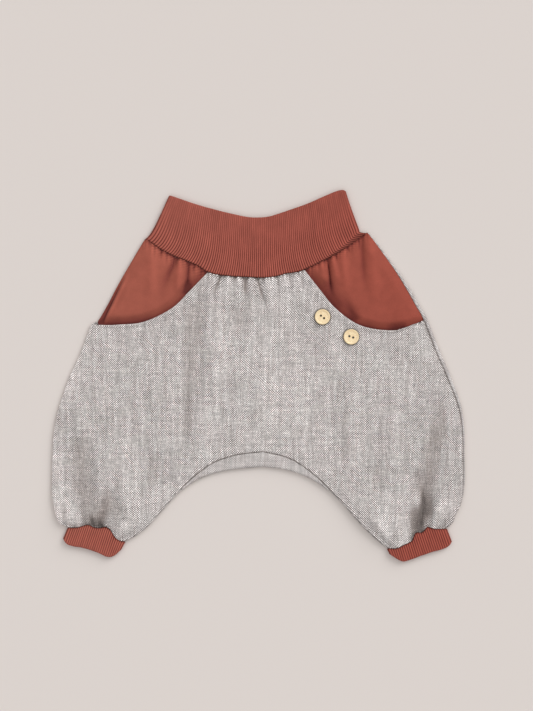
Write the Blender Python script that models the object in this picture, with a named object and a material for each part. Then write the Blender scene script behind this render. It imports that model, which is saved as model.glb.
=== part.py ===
"""Small harem trousers laid flat: rib waistband and cuffs, woven front and back, two hip pockets, two buttons.

Every size below is in millimetres, and the meshes are made in metres. The garment lies on its back in the
XY plane: +X is the right of the laid garment, +Y its waist, +Z up from the surface that it lies on.
"Left" and "right" are those of the laid garment seen from above.
"""
import math
from collections import namedtuple

import bmesh
import bpy
import numpy as np

MM = 0.001

# Walls and seams.
SEAM_GAP = 0.45           # between two pieces that a seam joins
RIB_SEAM_GAP = 0.9        # from a gathered or rolled panel edge to a rib tube, so that its slope stays clear
WOVEN_WALL = 1.2          # front and back panels
JERSEY_WALL = 1.0         # pocket pieces
RIB_WALL = 2.2            # waistband and cuffs, rib cloth folded double
RIB_RISE = 0.45           # from the valley to the ridge of a rib
TUBE_HOLLOW = 0.5         # between the front and back walls of a flattened rib tube

# The flattened trousers: the back panel on the surface, the front panel over it, soft folds at their edges.
FOLD_RADIUS = 1.6         # middle of the wall round a flattened edge
FLAP = 3.0                # flat cloth beside a rolled edge, where roll and panel meet
FRONT_LEVEL = WOVEN_WALL / 2 + 2 * FOLD_RADIUS      # middle of the front wall above the surface
POCKET_LEVEL = 2.2        # middle of the pocket piece where it slips under the front panel
POCKET_SLOPE = 12.0       # distance over which it climbs back to the front's level
POCKET_TUCK = 6.0         # how far its lowest corner is drawn in under the front panel
LOWEST_FRONT = 2.5        # middle of the front wall in its deepest crease
CALM_SHARE = 0.12         # share of a half's width beside a roll in which soft folds die away
CROWN_POWER = 0.6         # below 1, the puff over the gathers is full across the leg and steep at its sides

# Mesh density: rows for each section of a table, columns across half a panel.
HIP_ROWS = 2
BODY_ROWS = 1
LEG_ROWS = 1
FRONT_COLUMNS = 13
BACK_COLUMNS = 11
SIDE_ROLL_COLUMNS = 5     # of the front, round its side
CROTCH_ROLL_COLUMNS = 3   # of the front, beside the crotch seam
POCKET_COLUMNS = 11
POCKET_ROLL_COLUMNS = 4
UNDERSIDE_COLUMNS = 14    # across a flattened rib tube's underside
OPENING_STEPS = 60        # along a pocket opening, where distances to it are measured

# Ribs.
WAIST_RIBS = 94
CUFF_RIBS = 26
WAIST_BULGE = 0.8         # the waistband's front is softly rounded between its fold and its seam
CUFF_BULGE = 0.5

# Buttons, as turned wood blanks with two holes.
BUTTON_RADIUS = 7.5
BUTTON_HEIGHT = 2.8
BUTTON_RIM = 1.7
BUTTON_DISH = 0.6
BUTTON_HOLE_RADIUS = 0.8
BUTTON_HOLE_OFFSET = 1.9
BUTTON_SEGMENTS = 28
BUTTON_LIFT = 0.45        # clear of the cloth below

# An edge is a straight chord with a sag on its right-hand side: rows of (fraction along, sag).
Edge = namedtuple("Edge", "start end sag")
WAIST_SEAM = Edge((-106.7, 127.8), (101.5, 134.0), (
    (0, 0), (0.05, 6.9), (0.12, 15.4), (0.2, 22.4), (0.29, 30.0), (0.38, 35.2), (0.5, 37.2),
    (0.61, 35.7), (0.72, 30.9), (0.8, 24.2), (0.88, 15.6), (0.95, 6.2), (1, 0)))
WAIST_FOLD = Edge((-84.1, 170.1), (82.7, 174.8), (
    (0, 0), (0.12, 7.1), (0.25, 14.4), (0.37, 19.7), (0.5, 23.1), (0.62, 19.9), (0.74, 13.6),
    (0.88, 5.0), (1, 0)))
LEFT_HEM = Edge((-179.4, -142.4), (-124.9, -155.4), (
    (0, 0), (0.16, -2.4), (0.33, -6.0), (0.5, -7.4), (0.65, -6.9), (0.78, -3.2), (0.89, -0.3), (1, 0)))
LEFT_CUFF_FOLD = Edge((-181.4, -157.4), (-139.1, -170.3), ((0, 0), (0.3, -1.2), (0.6, -1.5), (1, 0)))
RIGHT_HEM = Edge((120.5, -162.0), (177.2, -143.5), (
    (0, 0), (0.1, 1.9), (0.22, 2.3), (0.36, 0.8), (0.46, -2.6), (0.57, -5.4), (0.7, -5.9), (0.84, -3.0),
    (1, 0)))
RIGHT_CUFF_FOLD = Edge((135.8, -174.5), (181.0, -157.4), ((0, 0), (0.3, 0.8), (0.7, 1.3), (1, 0)))
WAISTBAND_SPAN = (0.0, 0.973)      # the stretch of the waist seam that the waistband covers

# A section is one line across half the garment, from its middle (or from the crotch) to its side.
# "rise" is the length along the wall from a fold's outermost line up to the seam between front and back.
# Hip sections: the middle, the pocket opening, the hidden edge of the pocket piece, and the side.
Hip = namedtuple("Hip", "middle_x middle_y open_x open_y bag_x bag_y side_x side_y side_rise")
LEFT_HIP = (
    Hip(0.0, 94.0, -49.4, 101.5, -30.0, 95.0, -106.7, 127.8, -0.8),
    Hip(0.0, 80.0, -65.3, 80.8, -47.0, 71.0, -119.9, 106.2, -0.8),
    Hip(0.6, 62.0, -83.2, 63.9, -68.0, 48.0, -131.6, 85.5, -0.8),
    Hip(1.0, 40.0, -109.5, 51.7, -100.0, 33.0, -141.5, 68.5, -0.8),
    Hip(1.6, 20.0, -134.0, 49.2, -128.0, 30.0, -149.6, 55.4, -0.8),
)
RIGHT_HIP = (
    Hip(0.0, 94.0, 44.7, 100.3, 26.0, 95.0, 101.5, 134.0, 0.8),
    Hip(0.0, 80.0, 57.8, 82.7, 40.0, 71.5, 115.5, 118.0, 1.0),
    Hip(0.6, 62.0, 74.7, 63.0, 61.0, 49.0, 129.2, 98.7, 2.0),
    Hip(1.0, 40.0, 97.0, 47.5, 90.0, 29.0, 144.0, 81.3, 3.4),
    Hip(1.6, 20.0, 125.0, 43.8, 122.0, 25.0, 152.8, 67.5, 3.7),
)

# Body sections, from the pockets' lower corners down to the level of the crotch.
Body = namedtuple("Body", "middle_x middle_y side_x side_y side_rise")
LEFT_BODY = (
    Body(2.0, 0.0, -157.5, 48.9, -0.9),
    Body(2.6, -18.0, -166.9, 24.4, -1.2),
    Body(3.0, -34.0, -179.5, -3.8, -1.2),
    Body(3.6, -48.0, -188.5, -32.0, -1.2),
    Body(3.9, -58.5, -192.7, -54.5, -1.2),
)
RIGHT_BODY = (
    Body(2.0, 0.0, 160.3, 52.6, 3.7),
    Body(2.6, -18.0, 171.6, 24.4, 3.4),
    Body(3.0, -34.0, 182.5, -2.0, 3.0),
    Body(3.6, -48.0, 191.5, -29.5, 2.6),
    Body(3.9, -58.5, 193.8, -53.6, 1.3),
)

# Leg sections, from the top of the crotch to the cuff. "roll" is the radius of the side folds there and
# "puff" how far the front stands up over the gathers.
Leg = namedtuple("Leg", "inner_x inner_y inner_rise side_x side_y side_rise roll puff")
LEFT_LEG = (
    Leg(4.2, -85.3, 14.4, -194.1, -71.4, -1.2, 1.6, 0.0),
    Leg(-18.0, -87.3, 13.6, -194.6, -82.0, -1.2, 1.6, 0.2),
    Leg(-37.5, -90.3, 10.3, -194.8, -92.0, -1.2, 1.6, 0.4),
    Leg(-54.5, -96.2, 5.4, -194.8, -100.6, -1.2, 1.7, 0.8),
    Leg(-69.0, -105.0, 2.4, -194.5, -108.5, -1.2, 1.9, 1.2),
    Leg(-81.5, -116.5, 1.3, -193.7, -116.0, -1.2, 2.2, 1.8),
    Leg(-92.5, -129.0, 1.1, -192.3, -123.5, -1.2, 2.5, 2.6),
    Leg(-103.3, -140.7, 1.0, -189.9, -131.0, -1.0, 2.5, 3.2),
    Leg(-114.5, -150.0, 0.9, -185.7, -137.7, -0.8, 2.0, 2.4),
    Leg(-124.9, -155.4, 0.8, -179.4, -142.4, -0.6, 1.6, 0.0),
)
RIGHT_LEG = (
    Leg(4.2, -85.3, 14.4, 194.1, -71.4, 1.1, 1.6, 0.0),
    Leg(24.5, -88.0, 11.8, 194.6, -81.5, 1.0, 1.6, 0.2),
    Leg(41.0, -93.0, 7.3, 194.7, -91.5, 0.9, 1.6, 0.4),
    Leg(55.0, -100.3, 4.0, 194.6, -100.5, 0.9, 1.7, 0.8),
    Leg(67.5, -109.0, 1.4, 193.7, -108.5, 0.9, 1.9, 1.2),
    Leg(79.0, -120.2, 1.0, 192.2, -116.0, 0.9, 2.2, 1.8),
    Leg(89.5, -132.3, 1.0, 190.0, -123.5, 0.9, 2.5, 2.6),
    Leg(99.7, -143.5, 1.0, 186.6, -131.2, 0.8, 2.5, 3.2),
    Leg(110.0, -153.7, 0.9, 182.6, -138.2, 0.8, 2.0, 2.4),
    Leg(120.5, -162.0, 0.8, 177.2, -143.5, 0.8, 1.6, 0.0),
)

# Soft folds: each starts at a seam at full height and dies away towards its end. A negative height is a
# trough. "width" is half the distance over which the fold is more than a third of its height.
Fold = namedtuple("Fold", "start_x start_y end_x end_y width height")
FRONT_FOLDS = (
    # gathers under the waistband
    Fold(-43, 99, -56, 62, 4.2, 1.3),
    Fold(-29, 96, -37, 48, 4.4, 1.7),
    Fold(-17, 95, -21, 58, 4.0, 1.4),
    Fold(-4, 94, -6, 44, 4.6, 1.8),
    Fold(10, 94, 10, 52, 4.4, 1.5),
    Fold(21, 95, 24, 62, 3.8, 1.3),
    Fold(31, 97, 38, 56, 4.2, 1.6),
    Fold(40, 99, 50, 72, 3.6, 1.2),
    # gathers over the left cuff
    Fold(-172, -146, -186, -112, 6.0, 2.2),
    Fold(-164, -141, -166, -108, 4.0, -2.2),
    Fold(-156, -140, -152, -100, 5.0, 1.6),
    Fold(-146, -140, -140, -114, 4.5, -2.6),
    Fold(-134, -146, -122, -118, 5.0, 1.8),
    # gathers over the right cuff
    Fold(127, -160, 108, -124, 5.0, 1.6),
    Fold(138, -158, 128, -116, 5.0, 1.8),
    Fold(152, -148, 156, -102, 5.0, -3.4),
    Fold(163, -144, 170, -108, 5.5, 2.4),
    Fold(171, -143, 182, -116, 4.0, -1.0),
)
LEFT_POCKET_FOLDS = (
    Fold(-97, 118, -104, 100, 3.2, 1.0),
    Fold(-89, 113, -97, 86, 3.4, 1.3),
    Fold(-80, 109, -86, 84, 3.2, 1.2),
    Fold(-71, 106, -76, 88, 3.0, 0.9),
    Fold(-120, 100, -146, 52, 3.0, -0.9),
)
RIGHT_POCKET_FOLDS = (
    Fold(60, 105, 66, 82, 3.2, 1.1),
    Fold(70, 110, 78, 72, 3.6, 1.4),
    Fold(80, 115, 88, 90, 3.2, 1.1),
    Fold(90, 122, 98, 98, 3.2, 0.9),
    Fold(97, 122, 104, 60, 4.5, 0.8),
)

# Buttons on the front panel beside the right pocket: centre and turn of the two holes.
Button = namedtuple("Button", "name x y turn")
BUTTONS = (
    Button("button_upper", 60.0, 55.5, -39.0),
    Button("button_lower", 87.0, 36.8, -19.0),
)
BUTTON_SEAT = FRONT_LEVEL + WOVEN_WALL / 2 + BUTTON_LIFT

# Surface colours, linear, with roughness.
Finish = namedtuple("Finish", "name colour roughness")
LINEN = Finish("heathered_linen", (0.49, 0.45, 0.43), 0.9)
JERSEY = Finish("rust_jersey", (0.34, 0.09, 0.065), 0.85)
RIB = Finish("rust_rib", (0.29, 0.075, 0.052), 0.85)
WOOD = Finish("pale_wood", (0.79, 0.62, 0.42), 0.55)


# ---- curves -------------------------------------------------------------------------------------------

def smooth_values(knots, values, at):
    """Read a table by cubic pieces with a smooth slope at each row."""
    knots = np.asarray(knots, float)
    values = np.asarray(values, float)
    at = np.asarray(at, float)
    slopes = np.gradient(values, knots, axis=0)
    piece = np.clip(np.searchsorted(knots, at, side="right") - 1, 0, len(knots) - 2)
    length = knots[piece + 1] - knots[piece]
    u = (at - knots[piece]) / length
    shape = u.shape + (1,) * (values.ndim - 1)
    u = u.reshape(shape)
    length = length.reshape(shape)
    return ((1 + 2 * u) * (1 - u) ** 2 * values[piece] + u * (1 - u) ** 2 * length * slopes[piece]
            + u * u * (3 - 2 * u) * values[piece + 1] - u * u * (1 - u) * length * slopes[piece + 1])


def smooth_rows(table, at):
    return smooth_values(np.arange(len(table)), table, at)


def smoothstep(value):
    value = np.clip(value, 0.0, 1.0)
    return value * value * (3 - 2 * value)


def unit(vectors):
    return vectors / np.linalg.norm(vectors, axis=-1, keepdims=True)


def edge_frame(edge):
    start = np.array(edge.start)
    chord = np.array(edge.end) - start
    length = np.linalg.norm(chord)
    along = chord / length
    sagging = np.array((along[1], -along[0]))
    return start, length, along, sagging


def edge_points(edge, fractions):
    """Points of an edge at fractions of its chord."""
    start, length, along, sagging = edge_frame(edge)
    sag = np.array(edge.sag)
    fractions = np.asarray(fractions, float)
    depth = smooth_values(sag[:, 0], sag[:, 1], fractions)
    return start + fractions[..., None] * length * along + depth[..., None] * sagging


def pull_to_edge(points, edge, weights, side):
    """Bring the first row of points to one side of an edge; later rows follow less."""
    start, length, along, sagging = edge_frame(edge)
    fractions = np.clip((points[0] - start) @ along / length, 0, 1)
    target = edge_points(edge, fractions) + side * RIB_SEAM_GAP * sagging
    overhang = (points[0] - start) @ along - fractions * length
    shift = target + overhang[:, None] * along - points[0]
    return points + weights[:, None, None] * shift


# ---- sections of the flattened trousers ----------------------------------------------------------------

HIP_SECTIONS = len(LEFT_HIP)
CROTCH_SECTION = HIP_SECTIONS + len(LEFT_BODY)
LAST_SECTION = CROTCH_SECTION + len(LEFT_LEG) - 1
WAIST_PULL = 2.5          # sections over which a panel's rows take up the curve of the waist seam
HEM_PULL = 6.0            # and of the hem


def section_numbers():
    """Places of the mesh rows, counted in sections from the waist to the hem."""
    hip = np.linspace(0, HIP_SECTIONS, HIP_SECTIONS * HIP_ROWS, endpoint=False)
    body_count = (CROTCH_SECTION - HIP_SECTIONS) * BODY_ROWS
    body = np.linspace(HIP_SECTIONS, CROTCH_SECTION, body_count, endpoint=False)
    leg = np.linspace(CROTCH_SECTION, LAST_SECTION, (LAST_SECTION - CROTCH_SECTION) * LEG_ROWS + 1)
    return np.concatenate((hip, body, leg))


def fold_point(outline, inward, rise, radius):
    """Middle of the wall at a length `rise` above a rolled edge's outermost line."""
    quarter = radius * math.pi / 2
    angle = np.clip(rise, -quarter, quarter) / radius
    inset = WOVEN_WALL / 2 + radius * (1 - np.cos(angle)) + np.maximum(np.abs(rise) - quarter, 0)
    height = WOVEN_WALL / 2 + radius * (1 + np.sin(angle))
    plan = outline + inset[..., None] * inward
    return np.concatenate((plan, height[..., None]), axis=-1)


class Half:
    """One half of the trousers: its outlines, and the directions in which its edges roll."""

    def __init__(self, hip, body, leg, hem):
        self.hip = np.array(hip)
        self.body = np.array(body)
        self.leg = np.array(leg)
        self.hem = hem
        self.sections = section_numbers()
        self.set_side()
        self.set_crotch()

    def set_side(self):
        side = np.vstack((self.hip[:, 6:9], self.body[:, 2:5], self.leg[:, 3:6]))
        side = smooth_rows(side, self.sections)
        flat = np.full(CROTCH_SECTION, FOLD_RADIUS)
        self.side = side[:, :2]
        self.side_rise = side[:, 2]
        self.roll = smooth_rows(np.concatenate((flat, self.leg[:, 6])), self.sections)
        self.puff = smooth_rows(np.concatenate((0 * flat, self.leg[:, 7])), self.sections)
        middle = np.vstack((self.hip[:, :2], self.body[:, :2], self.leg[:, :2]))
        self.side_inward = unit(smooth_rows(middle, self.sections) - self.side)

    def set_crotch(self):
        self.in_leg = self.sections >= CROTCH_SECTION
        numbers = self.sections[self.in_leg] - CROTCH_SECTION
        inner = smooth_rows(self.leg[:, :3], numbers)
        self.inner = inner[:, :2]
        self.inner_rise = inner[:, 2]
        self.inner_roll = self.roll[self.in_leg]
        forward = np.gradient(self.inner, axis=0)
        turn = np.sign(self.leg[-1, 0])
        normal = unit(np.stack((-turn * forward[:, 1], turn * forward[:, 0]), axis=1))
        across = unit(self.side[self.in_leg] - self.inner)
        mix = smoothstep(numbers / numbers[-1])[:, None]
        inward = unit((1 - mix) * normal + mix * across)
        inward[0] = (0.0, 1.0)
        self.inner_inward = inward

    def over_reach(self, rise, roll):
        """Length above the fold at which the front's flat part begins."""
        return np.maximum(roll * math.pi / 2, rise) + FLAP

    def pulled(self, rows, sections):
        """Bend a patch's first and last rows to the waist seam and the hem."""
        plan = rows[..., :2]
        if sections[0] == 0:
            weights = np.clip(1 - sections / WAIST_PULL, 0, 1) ** 2
            plan = pull_to_edge(plan, WAIST_SEAM, weights, 1)
        if sections[-1] == LAST_SECTION:
            weights = np.clip(1 - (LAST_SECTION - sections) / HEM_PULL, 0, 1) ** 2
            plan = pull_to_edge(plan[::-1], self.hem, weights[::-1], -1)[::-1]
        return np.concatenate((plan, rows[..., 2:]), axis=-1)


HALVES = (
    Half(LEFT_HIP, LEFT_BODY, LEFT_LEG, LEFT_HEM),
    Half(RIGHT_HIP, RIGHT_BODY, RIGHT_LEG, RIGHT_HEM),
)


def across(inner, outer, columns):
    """Rows of points from one boundary to the other."""
    t = np.linspace(0, 1, columns + 1)[None, :, None]
    return inner[:, None, :] * (1 - t) + outer[:, None, :] * t


def rolled_strip(outline, inward, rises, roll):
    """Rows along a rolled edge, a column for each length in `rises` (rows by columns)."""
    return fold_point(outline[:, None, :], inward[:, None, :], rises, roll[:, None])


def relief(x, y, folds):
    height = np.zeros_like(x)
    for fold in folds:
        start = np.array((fold.start_x, fold.start_y))
        run = np.array((fold.end_x, fold.end_y)) - start
        length = np.linalg.norm(run)
        run = run / length
        along = ((x - start[0]) * run[0] + (y - start[1]) * run[1]) / length
        off = (x - start[0]) * run[1] - (y - start[1]) * run[0]
        height += fold.height * smoothstep(1 - along) * np.exp(-(off / fold.width) ** 2)
    return height


# ---- the woven panels ------------------------------------------------------------------------------------

def front_patches(half):
    """The front panel of one half: its flat part, its side roll and its crotch roll."""
    s = half.sections
    below = s >= HIP_SECTIONS
    side_top = half.over_reach(half.side_rise, half.roll)
    inner_top = half.over_reach(half.inner_rise, half.inner_roll)
    side_strip_rises = np.linspace(half.side_rise + SEAM_GAP / 2, side_top, SIDE_ROLL_COLUMNS + 1, axis=1)
    side_strip = rolled_strip(half.side, half.side_inward, side_strip_rises, half.roll)[below]
    inner_strip_rises = np.linspace(half.inner_rise + SEAM_GAP / 2, inner_top, CROTCH_ROLL_COLUMNS + 1, axis=1)
    inner_strip = rolled_strip(half.inner, half.inner_inward, inner_strip_rises, half.inner_roll)

    middle = np.vstack((half.hip[:, :2], half.body[:, :2], inner_strip[0, -1, :2]))
    inner = np.empty((len(s), 3))
    inner[half.in_leg] = inner_strip[:, -1]
    inner[~half.in_leg, :2] = smooth_rows(middle, s[~half.in_leg])
    inner[~half.in_leg, 2] = FRONT_LEVEL
    opening = np.vstack((half.hip[:, 2:4], side_strip[0, -1, :2]))
    outer = np.empty((len(s), 3))
    outer[below] = side_strip[:, -1]
    outer[~below, :2] = smooth_rows(opening, s[~below])
    outer[~below, 2] = FRONT_LEVEL

    main = half.pulled(across(inner, outer, FRONT_COLUMNS), s)
    t = np.linspace(0, 1, FRONT_COLUMNS + 1)[None, :]
    at_side = smoothstep((1 - t) / CALM_SHARE)
    at_crotch = smoothstep(t / CALM_SHARE)
    side_mix = np.clip(s - HIP_SECTIONS + 1, 0, 1)[:, None]
    crotch_mix = np.clip(s - CROTCH_SECTION + 1, 0, 1)[:, None]
    calm = (1 - side_mix + side_mix * at_side) * (1 - crotch_mix + crotch_mix * at_crotch)
    crown = half.puff[:, None] * np.sin(math.pi * t) ** CROWN_POWER
    height = main[..., 2] + crown + calm * relief(main[..., 0], main[..., 1], FRONT_FOLDS)
    main[..., 2] = np.maximum(height, LOWEST_FRONT)
    side_strip = half.pulled(side_strip, s[below])
    inner_strip = half.pulled(inner_strip, s[half.in_leg])
    return [main, side_strip, inner_strip]


def wrap_rises(rise, roll):
    """Lengths from the flat underside, round the fold, to the seam with the front.

    Four columns go round the fold and two run on to the seam; where the seam lies low on the fold, two
    thirds of the way to it is the fold's share.
    """
    under = -roll * math.pi / 2
    over = under + np.minimum(-2 * under, (rise - under) * 2 / 3)
    seam = rise - SEAM_GAP / 2
    around = np.linspace(under, over, 5, axis=1)
    upper = np.linspace(over, seam, 3, axis=1)[:, 1:]
    return np.concatenate(((under - FLAP)[:, None], around, upper), axis=1)


def back_patches(half):
    """The back panel of one half: its underside and the strips that it rolls up round the edges."""
    s = half.sections
    side_strip = rolled_strip(half.side, half.side_inward, wrap_rises(half.side_rise, half.roll), half.roll)
    inner_strip = rolled_strip(half.inner, half.inner_inward,
                               wrap_rises(half.inner_rise, half.inner_roll), half.inner_roll)
    middle = np.vstack((half.hip[:, :2], half.body[:, :2], inner_strip[0, 0, :2]))
    inner = np.full((len(s), 3), WOVEN_WALL / 2)
    inner[half.in_leg] = inner_strip[:, 0]
    inner[~half.in_leg, :2] = smooth_rows(middle, s[~half.in_leg])
    main = half.pulled(across(inner, side_strip[:, 0], BACK_COLUMNS), s)
    return [main, half.pulled(side_strip, s), half.pulled(inner_strip, s[half.in_leg])]


# ---- the pocket pieces -----------------------------------------------------------------------------------

def beyond_opening(half, x, y):
    """Distance from the pocket opening, positive where the pocket piece shows."""
    corner = half.side[half.sections == HIP_SECTIONS]
    table = np.vstack((half.hip[:, 2:4], corner))
    curve = smooth_rows(table, np.linspace(0, HIP_SECTIONS, OPENING_STEPS))
    tangent = unit(np.gradient(curve, axis=0))
    gap_x = x[..., None] - curve[:, 0]
    gap_y = y[..., None] - curve[:, 1]
    nearest = np.argmin(gap_x ** 2 + gap_y ** 2, axis=-1)[..., None]
    near_x = np.take_along_axis(gap_x, nearest, -1)[..., 0]
    near_y = np.take_along_axis(gap_y, nearest, -1)[..., 0]
    turn = tangent[nearest[..., 0]]
    side = np.sign(half.leg[-1, 0]) * (turn[..., 0] * near_y - turn[..., 1] * near_x)
    return np.sign(side) * np.hypot(near_x, near_y)


def pocket_patches(half, folds):
    """The pocket piece: it shows at the hip and runs on under the front panel.

    Its last row lies a little below the pocket opening's corner, drawn in under the front panel.
    """
    last = HIP_SECTIONS + 0.3
    s = np.linspace(0, last, HIP_SECTIONS * HIP_ROWS + 1)
    side = smooth_values(half.sections, np.column_stack((half.side, half.side_rise)), s)
    inward = unit(smooth_values(half.sections, half.side_inward, s))
    roll = np.full(len(s), FOLD_RADIUS)
    bag = smooth_rows(half.hip[:, 4:6], np.minimum(s, HIP_SECTIONS - 1))
    tuck = POCKET_TUCK * smoothstep((s - HIP_SECTIONS + 0.6) / 0.8)
    outline = side[:, :2] + tuck[:, None] * inward
    lowest = np.maximum(side[:, 2], 0) + SEAM_GAP / 2
    rises = np.linspace(lowest, half.over_reach(side[:, 2], roll), POCKET_ROLL_COLUMNS + 1, axis=1)
    strip = rolled_strip(outline, inward, rises, roll)
    bag_edge = np.column_stack((bag, np.full(len(s), FRONT_LEVEL)))
    patches = []
    for rows in (across(bag_edge, strip[:, -1], POCKET_COLUMNS), strip):
        rows = half.pulled(rows, s)
        x, y = rows[..., 0], rows[..., 1]
        shown = smoothstep(beyond_opening(half, x, y) / POCKET_SLOPE)
        calm = smoothstep((rows[..., 2] - POCKET_LEVEL) / (FRONT_LEVEL - POCKET_LEVEL))
        lifted = rows[..., 2] - POCKET_LEVEL + calm * relief(x, y, folds)
        rows[..., 2] = POCKET_LEVEL + shown * lifted
        patches.append(rows)
    return patches


# ---- rib tubes -------------------------------------------------------------------------------------------

# Round the wall at one column of a tube: share of the way from the seam to the fold, offset from the wall's
# middle in wall thicknesses, and share of the rib relief. The inside is plain.
RIB_WALL_RING = (
    (0.0, 0.5, 1.0),
    (0.07, 0.5, 1.0),
    (0.5, 0.5, 1.0),
    (0.95, 0.5, 1.0),
    (1.0, 0.0, 0.0),
    (0.95, -0.5, 0.0),
    (0.0, -0.5, 0.0),
)


def rib_columns(ribs, chord):
    """Round the flattened tube: inset from its left fold, height, direction out of the wall, rib relief."""
    radius = (RIB_WALL + TUBE_HOLLOW) / 2
    reach = RIB_WALL / 2 + radius
    level = reach
    columns = []
    for i, inset in enumerate(np.linspace(reach, chord - reach, 2 * ribs + 1)):
        columns.append((inset, level + radius, 0.0, 1.0, 0.0 if i % 2 == 0 else -RIB_RISE))
    for angle in (45, 0, -45):
        c, s = math.cos(math.radians(angle)), math.sin(math.radians(angle))
        columns.append((chord - reach + radius * c, level + radius * s, c, s, 0.0))
    for inset in np.linspace(chord - reach, reach, UNDERSIDE_COLUMNS + 1):
        columns.append((inset, level - radius, 0.0, -1.0, 0.0))
    for angle in (-45, 0, 45):
        c, s = math.cos(math.radians(angle)), math.sin(math.radians(angle))
        columns.append((reach - radius * c, level + radius * s, -c, s, 0.0))
    return columns


def rib_tube(name, seam, fold, span, ribs, bulge, finish):
    """A rib cloth tube pressed flat, sewn on along `seam` and folded over along `fold`."""
    seam_ends = edge_points(seam, np.array(span))
    fold_ends = edge_points(fold, np.array((0.0, 1.0)))
    chord = (np.linalg.norm(seam_ends[1] - seam_ends[0]) + np.linalg.norm(fold_ends[1] - fold_ends[0])) / 2
    mesh = bmesh.new()
    loops = []
    for inset, height, out_across, out_up, rib in rib_columns(ribs, chord):
        share = inset / chord
        low = edge_points(seam, np.array(span[0] + share * (span[1] - span[0])))
        high = edge_points(fold, np.array(share))
        across_tube = unit((seam_ends[1] - seam_ends[0]) + (fold_ends[1] - fold_ends[0]))
        loop = []
        for up, offset, rib_share in RIB_WALL_RING:
            out = offset * RIB_WALL + rib_share * rib
            plan = low + (high - low) * up + across_tube * out_across * out
            lift = bulge * math.sin(math.pi * up) * max(out_up, 0.0)
            loop.append(mesh.verts.new((plan[0] * MM, plan[1] * MM, (height + out_up * out + lift) * MM)))
        loops.append(loop)
    for near, far in zip(loops, loops[1:] + loops[:1]):
        for i in range(len(RIB_WALL_RING)):
            j = (i + 1) % len(RIB_WALL_RING)
            mesh.faces.new((near[i], near[j], far[j], far[i]))
    return finish_object(name, mesh, finish)


# ---- objects ---------------------------------------------------------------------------------------------

def material(finish):
    made = bpy.data.materials.get(finish.name) or bpy.data.materials.new(finish.name)
    made.use_nodes = True
    shader = made.node_tree.nodes["Principled BSDF"]
    shader.inputs["Base Color"].default_value = (*finish.colour, 1.0)
    shader.inputs["Roughness"].default_value = finish.roughness
    shader.inputs["Metallic"].default_value = 0.0
    return made


def finish_object(name, mesh, finish):
    """Turn a bmesh into a named object with its material."""
    bmesh.ops.recalc_face_normals(mesh, faces=mesh.faces)
    data = bpy.data.meshes.new(name)
    mesh.to_mesh(data)
    mesh.free()
    data.materials.append(material(finish))
    data.shade_smooth()
    made = bpy.data.objects.new(name, data)
    bpy.context.scene.collection.objects.link(made)
    return made


def cloth_object(name, patches, wall, finish):
    """Weld patches of the wall's middle surface, then thicken them to the wall."""
    mesh = bmesh.new()
    for rows in patches:
        grid = [[mesh.verts.new(point * MM) for point in row] for row in rows]
        for near, far in zip(grid, grid[1:]):
            for i in range(len(near) - 1):
                mesh.faces.new((near[i], near[i + 1], far[i + 1], far[i]))
    bmesh.ops.remove_doubles(mesh, verts=mesh.verts, dist=0.02 * MM)
    made = finish_object(name, mesh, finish)
    thicken = made.modifiers.new("wall", "SOLIDIFY")
    thicken.thickness = wall * MM
    thicken.offset = 0.0
    thicken.use_even_offset = True
    thicken.use_quality_normals = True
    return made


def button_object(button):
    """A turned wooden button with a raised rim and two sewing holes."""
    floor = BUTTON_HEIGHT - BUTTON_DISH
    profile = ((0.0, 0.0), (BUTTON_RADIUS - 0.6, 0.0), (BUTTON_RADIUS, 0.8), (BUTTON_RADIUS, 1.9),
               (BUTTON_RADIUS - 0.5, BUTTON_HEIGHT), (BUTTON_RADIUS - BUTTON_RIM, BUTTON_HEIGHT),
               (BUTTON_RADIUS - BUTTON_RIM - 0.7, floor), (0.0, floor))
    mesh = bmesh.new()
    points = [mesh.verts.new((radius * MM, 0.0, height * MM)) for radius, height in profile]
    rim = [mesh.edges.new(pair) for pair in zip(points, points[1:])]
    bmesh.ops.spin(mesh, geom=points + rim, cent=(0, 0, 0), axis=(0, 0, 1), angle=2 * math.pi,
                   steps=BUTTON_SEGMENTS, use_merge=True)
    bmesh.ops.remove_doubles(mesh, verts=mesh.verts, dist=0.01 * MM)
    made = finish_object(button.name, mesh, WOOD)
    for side in (-1, 1):
        drill = bmesh.new()
        bmesh.ops.create_cone(drill, cap_ends=True, segments=12, radius1=BUTTON_HOLE_RADIUS * MM,
                              radius2=BUTTON_HOLE_RADIUS * MM, depth=4 * BUTTON_HEIGHT * MM)
        bmesh.ops.translate(drill, verts=drill.verts, vec=(side * BUTTON_HOLE_OFFSET * MM, 0, 0))
        cutter = finish_object(f"{button.name}_drill_{side}", drill, WOOD)
        cutter.hide_render = True
        cutter.display_type = "WIRE"
        cutter.parent = made
        cut = made.modifiers.new("hole", "BOOLEAN")
        cut.operation = "DIFFERENCE"
        cut.object = cutter
    made.location = (button.x * MM, button.y * MM, BUTTON_SEAT * MM)
    made.rotation_euler = (0, 0, math.radians(button.turn))
    return made


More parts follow.
